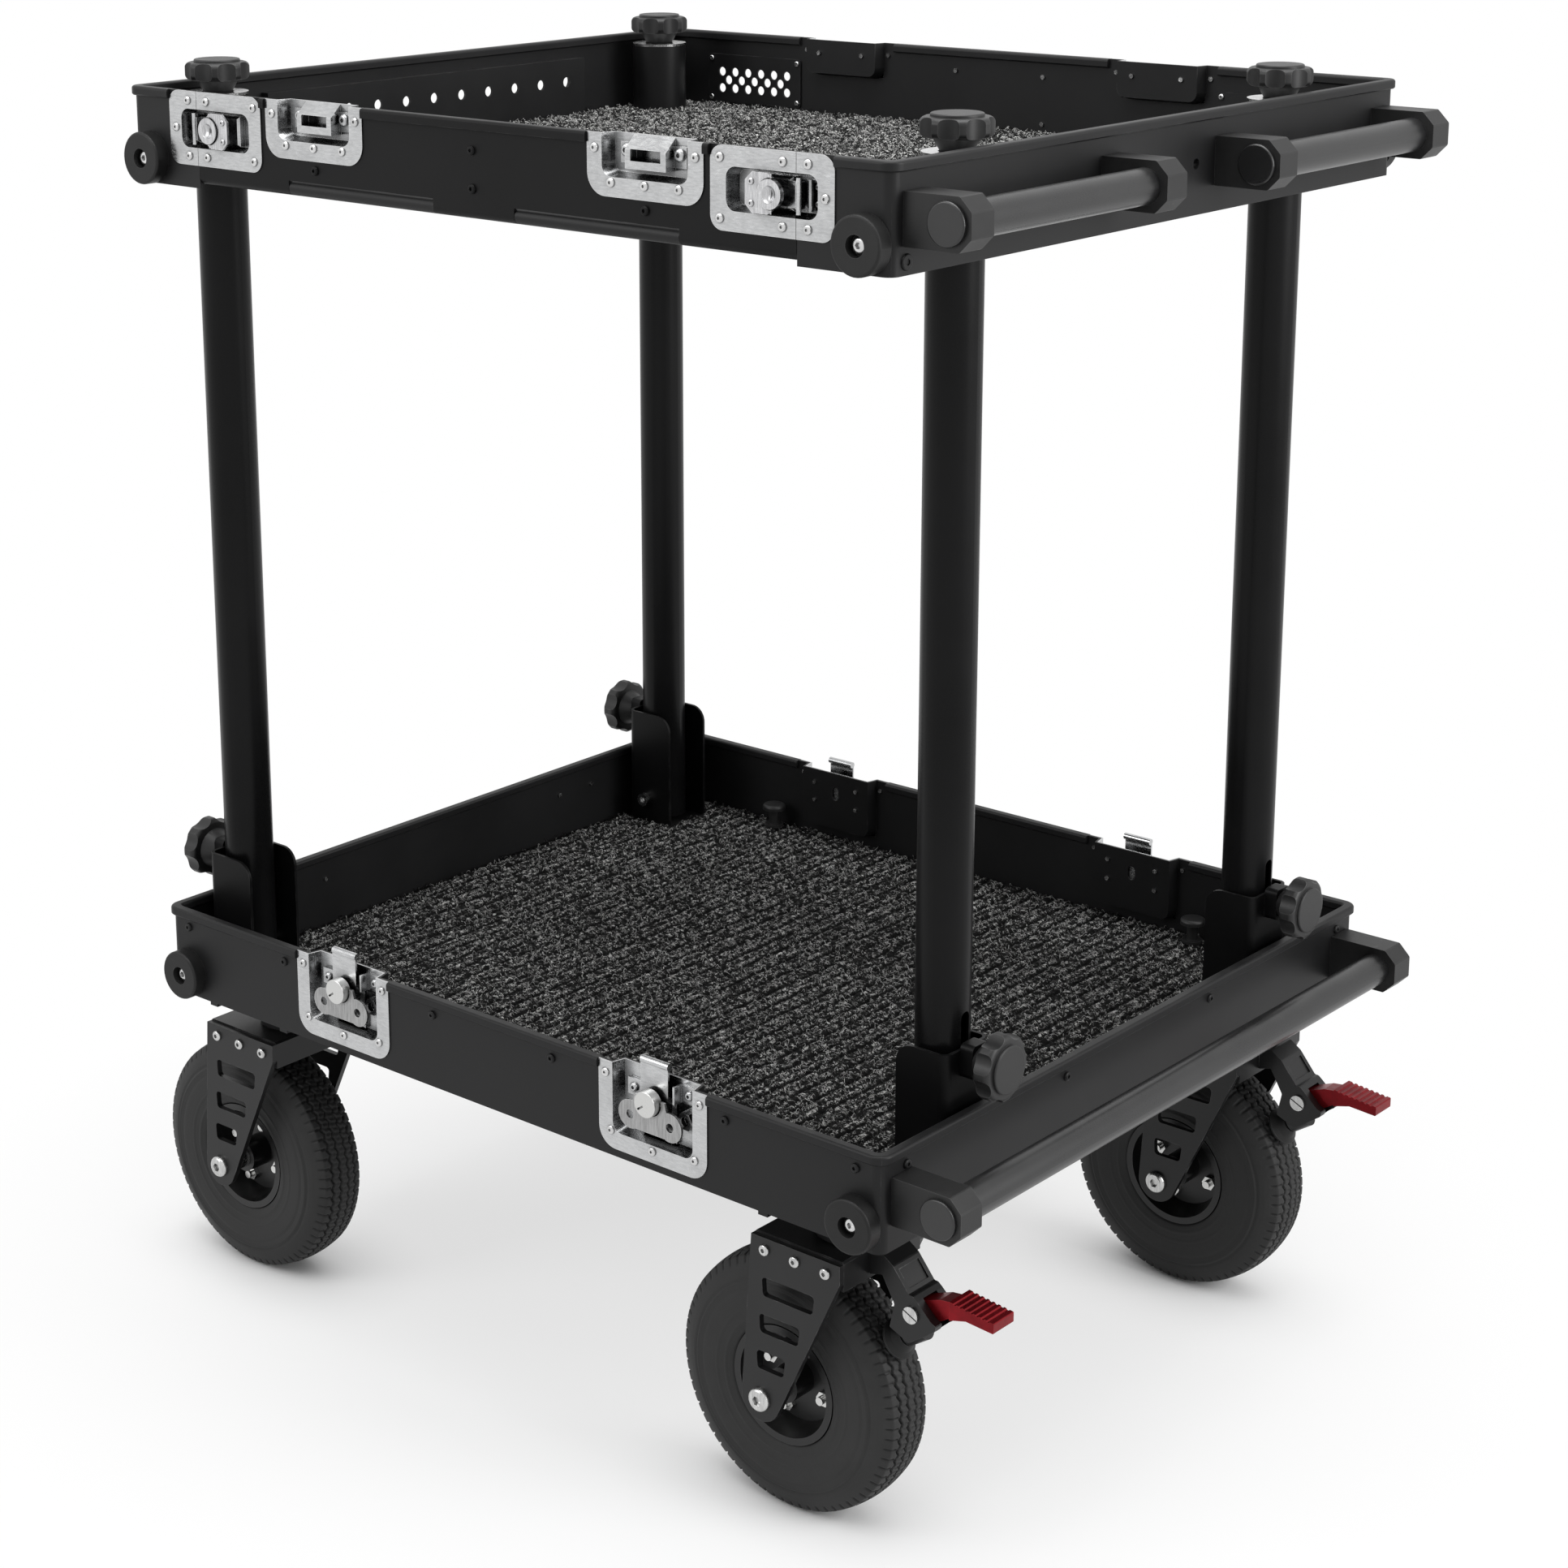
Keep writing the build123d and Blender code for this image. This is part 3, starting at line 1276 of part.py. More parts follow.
def tyre():
    """Tyre with a bulged side, rounded shoulders and four tread grooves."""
    lip = rim_lip_y
    right = [
        (rim_seat_radius, lip - rim_sheet),
        (rim_lip_radius, lip - rim_sheet),
        (rim_lip_radius + 1.5, lip + 0.5),
        (rim_lip_radius + 14, tyre_half_width - 1),
        (rim_lip_radius + 32, tyre_half_width),
        (wheel_radius - 22, tyre_half_width - 1.5),
        (wheel_radius - 11, tyre_half_width - 5.5),
        (wheel_radius - 4, tread_half_width),
    ]
    for i in (1.5, 0.5):
        middle = i * groove_spacing
        crown = wheel_radius - 2 * (middle / tread_half_width) ** 2
        right += [
            (crown, middle + groove_width / 2),
            (crown - groove_depth, middle + groove_width / 2 - 0.4),
            (crown - groove_depth, middle - groove_width / 2 + 0.4),
            (crown, middle - groove_width / 2),
        ]
    left = [(radius, -y) for radius, y in reversed(right)]
    return revolve_section(right + left)


def brake_bracket():
    """Sloping arm with two cheeks for the pedal and a guide for the brake shoe."""
    arm = Polyline(
        (head_end, head_low + 4),
        (head_end, head_top - 1),
        (trail + 46, head_top - 1),
        (trail + 58, head_top - 9),
        (trail + 76, brake_pivot_z + 18),
        (trail + 80, brake_pivot_z + 18),
        (trail + 85, brake_pivot_z + 14),
        (trail + 100, brake_pivot_z),
        (trail + 106, brake_pivot_z - 3),
        (trail + 105, brake_pivot_z - 8),
        (trail + 76, brake_pivot_z - 29),
        (trail + 55, brake_pivot_z - 20),
        (trail + 60, brake_pivot_z + 4),
        (trail + 46, brake_pivot_z + 28),
        close=True,
    )
    arm = extrude(Plane.XZ * make_face(arm), brake_half_width, both=True)
    arm = chamfer(arm.edges().filter_by(Axis.Y), brake_edge_chamfer)
    slot = Polyline(
        (trail + brake_pivot_x - 11, brake_pivot_z - 12),
        (trail + brake_pivot_x - 11, brake_pivot_z + 9.5),
        (trail + brake_pivot_x, brake_pivot_z + 10.5),
        (trail + brake_pivot_x + 14, brake_pivot_z + 20),
        (trail + brake_pivot_x + 60, brake_pivot_z + 20),
        (trail + brake_pivot_x + 60, brake_pivot_z - 12),
        close=True,
    )
    arm -= extrude(Plane.XZ * make_face(slot), brake_slot_half, both=True)
    pocket = Plane(
        origin=(trail + 67, 0, brake_pivot_z + 29), x_dir=(0, 1, 0), z_dir=(0.79, 0, 0.62)
    ).location
    arm -= pocket * Box(1.5 * brake_half_width, 19, 3)
    arm -= rod_y(brake_pivot_radius + fit, -50, 50, trail + brake_pivot_x, brake_pivot_z)
    guide = Cylinder(
        shoe_guide_radius, shoe_guide_length, align=(Align.CENTER, Align.CENTER, Align.MIN)
    )
    arm += shoe_axis * Pos(0, 0, shoe_back + shoe_guide_start) * guide
    bore_length = shoe_stem_length + 2
    bore = Cylinder(
        shoe_stem_radius + fit, bore_length, align=(Align.CENTER, Align.CENTER, Align.MIN)
    )
    return arm - shoe_axis * Pos(0, 0, shoe_back) * bore


def brake_pedal():
    """Ribbed foot pedal on its hub; pressing it down turns it about +Y."""
    x = trail + brake_pivot_x
    z = brake_pivot_z
    hub = rod_y(9, -brake_slot_half + 0.3, brake_slot_half - 0.3, x, z)
    root = Polyline(
        (x - 4, z + 8),
        (x + 6, z - 6.7),
        (x + 26, z - 1),
        (x + 40, z + 8),
        (x + 40, z + 21),
        (x + 24, z + 19),
        close=True,
    )
    root = extrude(Plane.XZ * make_face(root), brake_slot_half - 0.3, both=True)
    start = x + 38
    end = x + pedal_length + 22
    blade = Polyline(
        (start, z + 6),
        (start, z + 24),
        (end, z + 19),
        (end, z + 9),
        (start + 18, z + 11),
        close=True,
    )
    blade = extrude(Plane.XZ * make_face(blade), pedal_half_width, both=True)
    blade = fillet(blade.edges().filter_by(Axis.Y).group_by(Axis.X)[-1], 1.2)
    pitch = (end - start) / pedal_ribs
    for i in range(pedal_ribs - 1):
        rib_x = start + (i + 1) * pitch
        top = z + 24 - 5 * (rib_x - start) / (end - start)
        blade -= rod_y(1.9, -50, 50, rib_x, top + 0.6)
    pedal = hub + root + blade
    return pedal - rod_y(brake_pivot_radius + fit, -50, 50, x, z)


def brake_shoe():
    """Rubber cup on a stem, drawn along the line from the axle to the pedal."""
    height = shoe_cup_height
    bell = [
        (0, 0),
        (shoe_radius, 0),
        (shoe_radius, height * 0.15),
        (shoe_radius * 0.76, height * 0.45),
        (shoe_neck_radius, height),
        (0, height),
    ]
    cup = revolve(Plane.XZ * make_face(Polyline(*bell, close=True)), Axis.Z)
    stem = Cylinder(
        shoe_stem_radius, shoe_stem_length, align=(Align.CENTER, Align.CENTER, Align.MIN)
    )
    shape = Pos(0, 0, shoe_face) * cup + Pos(0, 0, shoe_back - 1) * stem
    return shoe_axis * shape


shoe_face = wheel_radius + shoe_gap
shoe_back = shoe_face + shoe_cup_height
shoe_axis = Pos(0, 0, wheel_radius) * Rot(0, 90 - shoe_angle, 0)
pivot_screw = rod_y(
    brake_pivot_radius, -brake_half_width, brake_half_width, trail + brake_pivot_x, brake_pivot_z
)
screw_face = -brake_half_width
slotted_head = rod_y(
    brake_screw_radius, screw_face - 2.5, screw_face, trail + brake_pivot_x, brake_pivot_z
)
driver_slot = Pos(trail + brake_pivot_x, screw_face - 2.5, brake_pivot_z)
slotted_head -= driver_slot * Rot(0, 25, 0) * Box(20, 2, 1.6)
pivot_screw += slotted_head

rim_pieces = wheel_rim()
tyre_piece = tyre()
side_plates = mirrored_pair(fork_side())
bracket_piece = brake_bracket()
pedal_piece = brake_pedal()
shoe_piece = brake_shoe()

mounts = []
for corner, x, y in (
    ("front_left", -caster_x, -caster_y),
    ("front_right", -caster_x, caster_y),
    ("rear_left", caster_x - rear_caster_stagger, -caster_y),
    ("rear_right", caster_x + rear_caster_stagger, caster_y),
):
    rear = corner.startswith("rear")
    fork_pieces = [head_block] + side_plates
    fork_hardware = list(hardware)
    if rear:
        fork_pieces.append(bracket_piece)
        fork_hardware.append(pivot_screw)
        write(f"{corner}_brake_pedal", [at_caster(pedal_piece, x, y)])
        write(f"{corner}_brake_shoe", [at_caster(shoe_piece, x, y)])
    write(f"{corner}_fork", [at_caster(piece, x, y) for piece in fork_pieces])
    write(f"{corner}_fork_hardware", [at_caster(piece, x, y) for piece in fork_hardware])
    write(f"{corner}_rim", [at_caster(piece, x, y) for piece in rim_pieces])
    write(f"{corner}_tyre", [at_caster(tyre_piece, x, y)])
    rail_low = lower_base - slide_rail_drop + 2
    half_span = rail_span / 2
    for hand in (-1, 1):
        outer_x = x + hand * half_span
        web_x0, web_x1 = sorted((outer_x, outer_x - hand * slide_rail_wall))
        lip_x0, lip_x1 = sorted((outer_x, outer_x - hand * slide_rail_lip))
        y0 = y - slide_rail_length / 2
        y1 = y + slide_rail_length / 2
        web = span(web_x0, web_x1, y0, y1, rail_low, lower_floor)
        mounts.append(web + span(lip_x0, lip_x1, y0, y1, rail_low, rail_low + slide_rail_wall))
    plate_half = half_span - slide_rail_wall
    plate_low = rail_low + slide_rail_wall
    plate = Box(2 * plate_half, 2 * mount_plate_half, mount_top - plate_low)
    plate = Pos(x, y, (plate_low + mount_top) / 2) * plate
    housing = rod_z(swivel_radius, housing_low, plate_low, x, y)
    mount = plate + housing
    mounts.append(mount - rod_z(kingpin_radius + fit, 0, 400, x, y))
write("caster_mounts", mounts)
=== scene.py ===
import json
import math

import bpy
import numpy as np
from mathutils import Matrix, Vector


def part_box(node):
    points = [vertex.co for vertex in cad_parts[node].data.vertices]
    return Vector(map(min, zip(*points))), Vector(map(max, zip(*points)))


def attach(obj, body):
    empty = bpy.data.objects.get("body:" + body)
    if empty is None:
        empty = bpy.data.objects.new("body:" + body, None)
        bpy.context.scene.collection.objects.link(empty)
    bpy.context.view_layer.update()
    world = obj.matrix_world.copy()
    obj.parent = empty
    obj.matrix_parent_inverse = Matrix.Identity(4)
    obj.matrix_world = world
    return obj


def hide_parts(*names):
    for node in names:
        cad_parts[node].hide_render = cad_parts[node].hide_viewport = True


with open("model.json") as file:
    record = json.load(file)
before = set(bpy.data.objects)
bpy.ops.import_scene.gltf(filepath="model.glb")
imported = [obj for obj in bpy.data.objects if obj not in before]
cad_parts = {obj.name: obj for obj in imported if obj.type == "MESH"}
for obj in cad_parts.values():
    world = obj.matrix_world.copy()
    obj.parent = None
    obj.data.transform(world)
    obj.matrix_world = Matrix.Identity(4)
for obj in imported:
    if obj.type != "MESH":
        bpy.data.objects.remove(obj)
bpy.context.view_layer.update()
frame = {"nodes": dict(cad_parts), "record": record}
nodes = frame["nodes"]
SEED = 20261
MM = 0.001


# Node materials
class Finish:
    """One node material, built a step at a time around its shader."""

    def __init__(self, name, colour=None, roughness=None, metallic=0.0, specular=0.5):
        self.material = bpy.data.materials.new(name)
        self.material.use_nodes = True
        self.nodes = self.material.node_tree.nodes
        self.links = self.material.node_tree.links
        self.shader = self.nodes["Principled BSDF"]
        self.coords = self.add("ShaderNodeTexCoord").outputs["Object"]
        self.shader.inputs["Metallic"].default_value = metallic
        self.shader.inputs["Specular IOR Level"].default_value = specular
        if colour is not None:
            self.shader.inputs["Base Color"].default_value = (*colour, 1)
        if roughness is not None:
            self.shader.inputs["Roughness"].default_value = roughness

    def add(self, kind, inputs=(), **settings):
        node = self.nodes.new(kind)
        for key, value in settings.items():
            setattr(node, key, value)
        for key, value in dict(inputs).items():
            self.put(node.inputs[key], value)
        return node

    def put(self, socket, value):
        if isinstance(value, bpy.types.NodeSocket):
            self.links.new(value, socket)
        else:
            socket.default_value = value

    def stretched(self, scale):
        """The piece's own coordinates, scaled differently along each axis."""
        mapping = self.add("ShaderNodeMapping", {"Vector": self.coords, "Scale": scale})
        return mapping.outputs["Vector"]

    def noise(self, scale, detail=2.0, roughness=0.5, distortion=0.0, vector=None):
        inputs = {
            "Vector": vector or self.coords,
            "Scale": scale,
            "Detail": detail,
            "Roughness": roughness,
            "Distortion": distortion,
        }
        return self.add("ShaderNodeTexNoise", inputs).outputs["Fac"]

    def cells(self, scale, vector=None):
        """A random grey for each small cell."""
        inputs = {"Vector": vector or self.coords, "Scale": scale}
        colour = self.add("ShaderNodeTexVoronoi", inputs).outputs["Color"]
        return self.add("ShaderNodeSeparateColor", {"Color": colour}).outputs["Red"]

    def spread(self, value, low, high, out_low=0.0, out_high=1.0):
        inputs = {0: value, 1: low, 2: high, 3: out_low, 4: out_high}
        return self.add("ShaderNodeMapRange", inputs, clamp=True).outputs["Result"]

    def sum(self, a, b, operation="ADD"):
        inputs = {0: a, 1: b}
        return self.add("ShaderNodeMath", inputs, operation=operation).outputs["Value"]

    def mix(self, factor, a, b):
        a = (*a, 1) if isinstance(a, tuple) else a
        b = (*b, 1) if isinstance(b, tuple) else b
        inputs = {0: factor, 6: a, 7: b}
        return self.add("ShaderNodeMix", inputs, data_type="RGBA").outputs[2]

    def edges(self, radius, broken_by):
        """High where an edge is near, broken up by another pattern."""
        bevel = self.add("ShaderNodeBevel", {"Radius": radius}, samples=4)
        normal = self.add("ShaderNodeNewGeometry").outputs["Normal"]
        inputs = {0: bevel.outputs["Normal"], 1: normal}
        dot = self.add("ShaderNodeVectorMath", inputs, operation="DOT_PRODUCT")
        near = self.spread(dot.outputs["Value"], 0.985, 0.88)
        return self.sum(near, broken_by, "MULTIPLY")

    def occlusion(self, distance, low=0.3, high=0.9):
        """Low in corners and creases, high on open faces."""
        node = self.add("ShaderNodeAmbientOcclusion", {"Distance": distance}, samples=6)
        return self.spread(node.outputs["AO"], low, high)

    def offset_from(self, place):
        """The distance along each axis from one place on the cart."""
        inputs = {0: self.coords, 1: place}
        node = self.add("ShaderNodeVectorMath", inputs, operation="SUBTRACT")
        parts = self.add("ShaderNodeSeparateXYZ", {"Vector": node.outputs["Vector"]})
        return [self.sum(parts.outputs[axis], 0.0, "ABSOLUTE") for axis in "XYZ"]

    def length(self, a, b):
        squares = self.sum(self.sum(a, 2.0, "POWER"), self.sum(b, 2.0, "POWER"))
        return self.sum(squares, 0.5, "POWER")

    def facing_up(self):
        normal = self.add("ShaderNodeNewGeometry").outputs["Normal"]
        parts = self.add("ShaderNodeSeparateXYZ", {"Vector": normal})
        return self.spread(parts.outputs["Z"], 0.6, 0.98)

    def bump(self, height, depth, strength=1.0):
        inputs = {"Height": height, "Distance": depth, "Strength": strength}
        normal = self.add("ShaderNodeBump", inputs).outputs["Normal"]
        self.put(self.shader.inputs["Normal"], normal)

    def finish(self, colour=None, roughness=None):
        if colour is not None:
            self.put(self.shader.inputs["Base Color"], colour)
        if roughness is not None:
            self.put(self.shader.inputs["Roughness"], roughness)
        return self.material


def powder_coat(name, dark, light, rough, grain, depth, edge_wear_and_highlight=0.08, specular=0.25,
                bright_at=None):
    """Black paint with a fine grain, faint clouds, edges lightened partly by wear and partly as a
    painted highlight, and settled dust.
    """
    f = Finish(name, specular=specular)
    clouds = f.noise(5.0, 4.0, 0.6)
    fine = f.noise(grain, 3.0, 0.55)
    patches = f.spread(f.noise(38.0, 5.0, 0.7), 0.48, 0.72)
    colour = f.mix(f.spread(clouds, 0.3, 0.7), dark, light)
    # Lighter edges: partly worn paint, partly a painted highlight along the edges.
    colour = f.mix(f.edges(0.9 * MM, patches), colour, (edge_wear_and_highlight, edge_wear_and_highlight, edge_wear_and_highlight))
    dust = f.sum(f.facing_up(), f.spread(f.noise(21.0, 5.0), 0.45, 0.8), "MULTIPLY")
    dust = f.sum(dust, 0.35, "MULTIPLY")
    colour = f.mix(dust, colour, (0.05, 0.05, 0.048))
    roughness = f.sum(f.spread(clouds, 0.3, 0.7, rough - 0.05, rough + 0.05),
                      f.spread(fine, 0.3, 0.7, -0.04, 0.06))
    if bright_at is not None:
        bare = bright_at(f)
        colour = f.mix(bare, colour, (0.62, 0.62, 0.61))
        roughness = f.sum(roughness, f.sum(bare, 0.12, "MULTIPLY"), "SUBTRACT")
        f.put(f.shader.inputs["Metallic"], bare)
    f.bump(fine, depth)
    return f.finish(colour, roughness)


def plated(name, dark, light, rough, brushed, depth, stain=0.5, painted_shade_reach=6 * MM,
           bright_at=None):
    """Metal with rolling marks, small scratches, duller patches, painted shade in the creases and
    painted highlights along the edges.
    """
    f = Finish(name, metallic=1.0)
    marks = f.noise(60.0, 4.0, 0.6, vector=f.stretched(brushed))
    cloud = f.noise(30.0, 5.0, 0.65)
    scratch = f.spread(f.noise(90.0, 2.0, 0.5, 1.5, f.stretched((1, 9, 3))), 0.62, 0.66)
    colour = f.mix(f.spread(marks, 0.3, 0.7), dark, light)
    dull = f.sum(f.spread(cloud, 0.5, 0.75), stain, "MULTIPLY")
    colour = f.mix(dull, colour, tuple(c * 0.7 for c in dark))
    if bright_at is not None:
        colour = f.mix(bright_at(f), colour, (0.62, 0.62, 0.61))
    # Painted shade: near black in corners and creases, by ambient occlusion.
    colour = f.mix(f.occlusion(painted_shade_reach), tuple(c * 0.10 for c in dark), colour)
    # Painted highlight: the edges are lightened to near white.
    rim = f.edges(0.5 * MM, 0.75)
    colour = f.mix(rim, colour, (0.9, 0.9, 0.9))
    roughness = f.sum(f.spread(marks, 0.3, 0.7, rough - 0.06, rough + 0.07),
                      f.sum(scratch, 0.12, "MULTIPLY"))
    f.bump(f.sum(marks, f.sum(scratch, 0.3, "MULTIPLY"), "SUBTRACT"), depth)
    return f.finish(colour, roughness)


def moulded(name, dark, light, rough, grain, depth, specular=0.45, edge_wear_and_highlight=0.08):
    """Matte moulded plastic or rubber with a spark-eroded grain."""
    f = Finish(name, specular=specular)
    grain_noise = f.noise(grain, 2.0, 0.6)
    clouds = f.noise(14.0, 5.0, 0.6)
    scuffs = f.spread(f.noise(70.0, 3.0, 0.6, 1.0, f.stretched((1, 1, 3))), 0.6, 0.75)
    colour = f.mix(f.spread(clouds, 0.3, 0.7), dark, light)
    # Lighter edges: partly wear, partly a painted highlight along the edges.
    colour = f.mix(f.edges(0.8 * MM, f.spread(clouds, 0.4, 0.6, 0.2, 0.9)), colour,
                   (edge_wear_and_highlight, edge_wear_and_highlight, edge_wear_and_highlight))
    roughness = f.sum(f.spread(clouds, 0.3, 0.7, rough - 0.06, rough + 0.06),
                      f.sum(scuffs, -0.10, "MULTIPLY"))
    f.bump(grain_noise, depth)
    return f.finish(colour, roughness)


def anodised(name, dark, light, rough):
    """Coloured anodised aluminium with lighter, rubbed edges."""
    f = Finish(name, metallic=0.75)
    clouds = f.noise(45.0, 4.0, 0.6)
    lines = f.noise(120.0, 3.0, 0.5, vector=f.stretched((1, 8, 8)))
    colour = f.mix(f.spread(clouds, 0.3, 0.7), dark, light)
    rubbed = tuple(min(1.0, c * 1.5 + 0.02) for c in light)
    colour = f.mix(f.edges(0.7 * MM, f.spread(clouds, 0.4, 0.6, 0.3, 1.0)), colour, rubbed)
    f.bump(lines, 0.05 * MM)
    return f.finish(colour, f.spread(lines, 0.3, 0.7, rough - 0.05, rough + 0.07))


def carpet_pile(name):
    """Salt-and-pepper curly fibres: black ground, grey and near-white flecks, with painted shade
    in the rib valleys.
    """
    f = Finish(name, specular=0.1)
    rib = f.add("ShaderNodeAttribute", attribute_name="rib").outputs["Fac"]
    curls = f.noise(165.0, 3.0, 0.7, 2.5)
    threads = f.noise(420.0, 2.0, 0.6, 3.0)
    flecks = f.cells(230.0)
    pale = f.sum(f.spread(curls, 0.51, 0.56), f.spread(flecks, 0.25, 0.7), "MULTIPLY")
    # Painted shade: fewer pale flecks and a blacker ground down in the rib valleys.
    pale = f.sum(pale, f.spread(rib, 0.45, 0.9, 0.03, 1.0), "MULTIPLY")
    colour = f.mix(f.spread(threads, 0.42, 0.66), (0.002, 0.002, 0.002), (0.03, 0.03, 0.03))
    colour = f.mix(f.spread(rib, 0.3, 0.8), (0.001, 0.001, 0.001), colour)
    colour = f.mix(pale, colour, (0.95, 0.95, 0.93))
    f.bump(f.sum(curls, threads), 1.5 * MM, 0.9)
    return f.finish(colour, f.spread(threads, 0.3, 0.7, 0.8, 0.98))


def fibre_material(name):
    """Loose yarn ends, each strand its own grey."""
    f = Finish(name, specular=0.15)
    shade = f.add("ShaderNodeAttribute", attribute_name="strand").outputs["Fac"]
    twist = f.noise(2500.0, 2.0)
    colour = f.mix(f.spread(shade, 0.45, 1.0), (0.006, 0.006, 0.006), (0.85, 0.85, 0.83))
    colour = f.mix(f.spread(twist, 0.3, 0.7, 0.0, 0.3), colour, (0.02, 0.02, 0.02))
    f.bump(twist, 0.1 * MM)
    return f.finish(colour, f.spread(twist, 0.3, 0.7, 0.75, 0.95))


def tyre_material(name):
    """Dark rubber, paler on the scuffed blocks, with painted shade in the grooves and rings."""
    f = Finish(name, specular=0.32)
    clouds = f.noise(24.0, 5.0, 0.65)
    fine = f.noise(900.0, 3.0, 0.6)
    colour = f.mix(f.spread(clouds, 0.3, 0.7), (0.010, 0.010, 0.010), (0.024, 0.024, 0.024))
    colour = f.mix(f.edges(1.0 * MM, f.spread(clouds, 0.35, 0.65)), colour,
                   (0.075, 0.075, 0.072))
    # Painted shade: near black where the grooves and rings are occluded.
    colour = f.mix(f.occlusion(4 * MM, 0.45, 0.92), (0.0015, 0.0015, 0.0015), colour)
    f.bump(fine, 0.12 * MM)
    return f.finish(colour, f.spread(clouds, 0.3, 0.7, 0.5, 0.68))


def bolt_circle(centre):
    """Masks the clamp bolts and nuts that stand on a rim's web."""
    def mask(f):
        x, y, z = f.offset_from(centre)
        angle = math.radians(BOLT_ANGLE)
        turn = f.add("ShaderNodeVectorRotate", {"Vector": f.coords, "Center": centre,
                                                "Axis": (0, 1, 0), "Angle": angle})
        shifted = f.add("ShaderNodeVectorMath", {0: turn.outputs["Vector"], 1: centre},
                        operation="SUBTRACT").outputs["Vector"]
        parts = f.add("ShaderNodeSeparateXYZ", {"Vector": shifted})
        u = f.sum(parts.outputs["X"], 0.0, "ABSOLUTE")
        v = f.sum(parts.outputs["Z"], 0.0, "ABSOLUTE")
        far = f.sum(f.sum(u, v, "MAXIMUM"), BOLT_CIRCLE, "SUBTRACT")
        apart = f.length(far, f.sum(u, v, "MINIMUM"))
        on_web = f.spread(y, 5.05 * MM, 5.3 * MM)
        return f.sum(f.spread(apart, 8.6 * MM, 8.2 * MM), on_web, "MULTIPLY")
    return mask


def wing_posts(f):
    """Masks the round post of each lower latch."""
    parts = f.add("ShaderNodeSeparateXYZ", {"Vector": f.coords})
    x = f.sum(f.sum(parts.outputs["X"], 0.0, "ABSOLUTE"), LATCH_X, "SUBTRACT")
    z = f.sum(parts.outputs["Z"], LATCH_Z, "SUBTRACT")
    return f.spread(f.length(x, z), 12.9 * MM, 12.6 * MM)


BOLT_ANGLE = 69.0
BOLT_CIRCLE = 33.0 * MM
LATCH_X = 205.0 * MM
LATCH_Z = 400.5 * MM
black = (0.005, 0.005, 0.0053)
soft_black = (0.009, 0.009, 0.0094)
coal = (0.002, 0.002, 0.0021)
finishes = {
    "tray_black": powder_coat("tray_powder", black, soft_black, 0.46, 1500, 0.05 * MM),
    "plate_black": powder_coat("plate_powder", black, soft_black, 0.42, 1500, 0.04 * MM,
                               0.12),
    "leg_black": powder_coat("leg_paint", coal, black, 0.30, 2200, 0.02 * MM, 0.03, 0.13),
    "bracket_black": powder_coat("bracket_powder", coal, black, 0.42, 1500, 0.05 * MM,
                                 0.08, 0.12),
    "socket_black": powder_coat("socket_powder", coal, black, 0.36, 1500, 0.04 * MM),
    "grip_black": powder_coat("grip_paint", black, soft_black, 0.32, 1700, 0.03 * MM,
                              0.08, 0.6),
    "mount_black": powder_coat("mount_anodised", black, soft_black, 0.40, 1500, 0.04 * MM),
    "fork_black": powder_coat("fork_anodised", coal, soft_black, 0.34, 1700, 0.03 * MM,
                              0.22, 0.36),
    "arm_black": moulded("arm_moulding", black, (0.014,) * 3, 0.45, 1100, 0.06 * MM, 0.36),
    "knob_black": moulded("knob_moulding", black, (0.016,) * 3, 0.46, 1300, 0.06 * MM,
                          0.4, 0.12),
    "bumper_rubber": moulded("bumper_rubber", coal, (0.012,) * 3, 0.5, 900, 0.08 * MM, 0.3),
    "shoe_rubber": moulded("shoe_rubber", coal, (0.012,) * 3, 0.55, 900, 0.08 * MM, 0.25),
    "bright_steel": plated("bright_plating", (0.50, 0.50, 0.50), (0.75, 0.75, 0.75), 0.2,
                           (1, 6, 1), 0.02 * MM, 0.3, 2.5 * MM),
    "dish_steel": plated("zinc_pressing", (0.47, 0.475, 0.48), (0.60, 0.605, 0.61), 0.22,
                         (2, 2, 9), 0.012 * MM, 0.5, 16 * MM),
    "fork_screws": plated("machined_steel", (0.42, 0.42, 0.42), (0.68, 0.68, 0.67), 0.24,
                          (9, 1, 1), 0.02 * MM, 0.3, 2.5 * MM),
    "wing_grey": plated("dark_plating", (0.27, 0.27, 0.27), (0.44, 0.44, 0.44), 0.3,
                        (10, 1, 1), 0.03 * MM, 0.3, 5 * MM, wing_posts),
    "wing_silver": plated("silver_plating", (0.42, 0.42, 0.43), (0.68, 0.68, 0.69), 0.26,
                          (10, 1, 1), 0.03 * MM, 0.4, 7 * MM),
    "tyre_black": tyre_material("tyre_rubber"),
    "pedal_red": anodised("red_anodised", (0.13, 0.001, 0.004), (0.24, 0.003, 0.008), 0.34),
    "carpet": carpet_pile("carpet_pile"),
}
slot_of = {row["node"]: row["material_slot"] for row in frame["record"]["subparts"]}


def finish_for(name):
    """The finish of one CAD node: that of its slot, or one of its own."""
    # The drop side gets a darker copy of the tray powder coat: painted shade.
    if name == "drop_side":
        return powder_coat("drop_side_shaded_powder", coal, black, 0.46, 1500, 0.05 * MM, 0.08, 0.15)
    if name.endswith("_rim"):
        low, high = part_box(name)
        bolts = bolt_circle(tuple((low + high) / 2))
        return powder_coat(name + "_paint", coal, soft_black, 0.34, 1300, 0.05 * MM,
                           0.12, 0.4, bolts)
    return finishes[slot_of[name]]


for name, piece in nodes.items():
    material = finish_for(name)
    for place in piece.material_slots:
        place.material = material
    if not piece.material_slots:
        piece.data.materials.append(material)


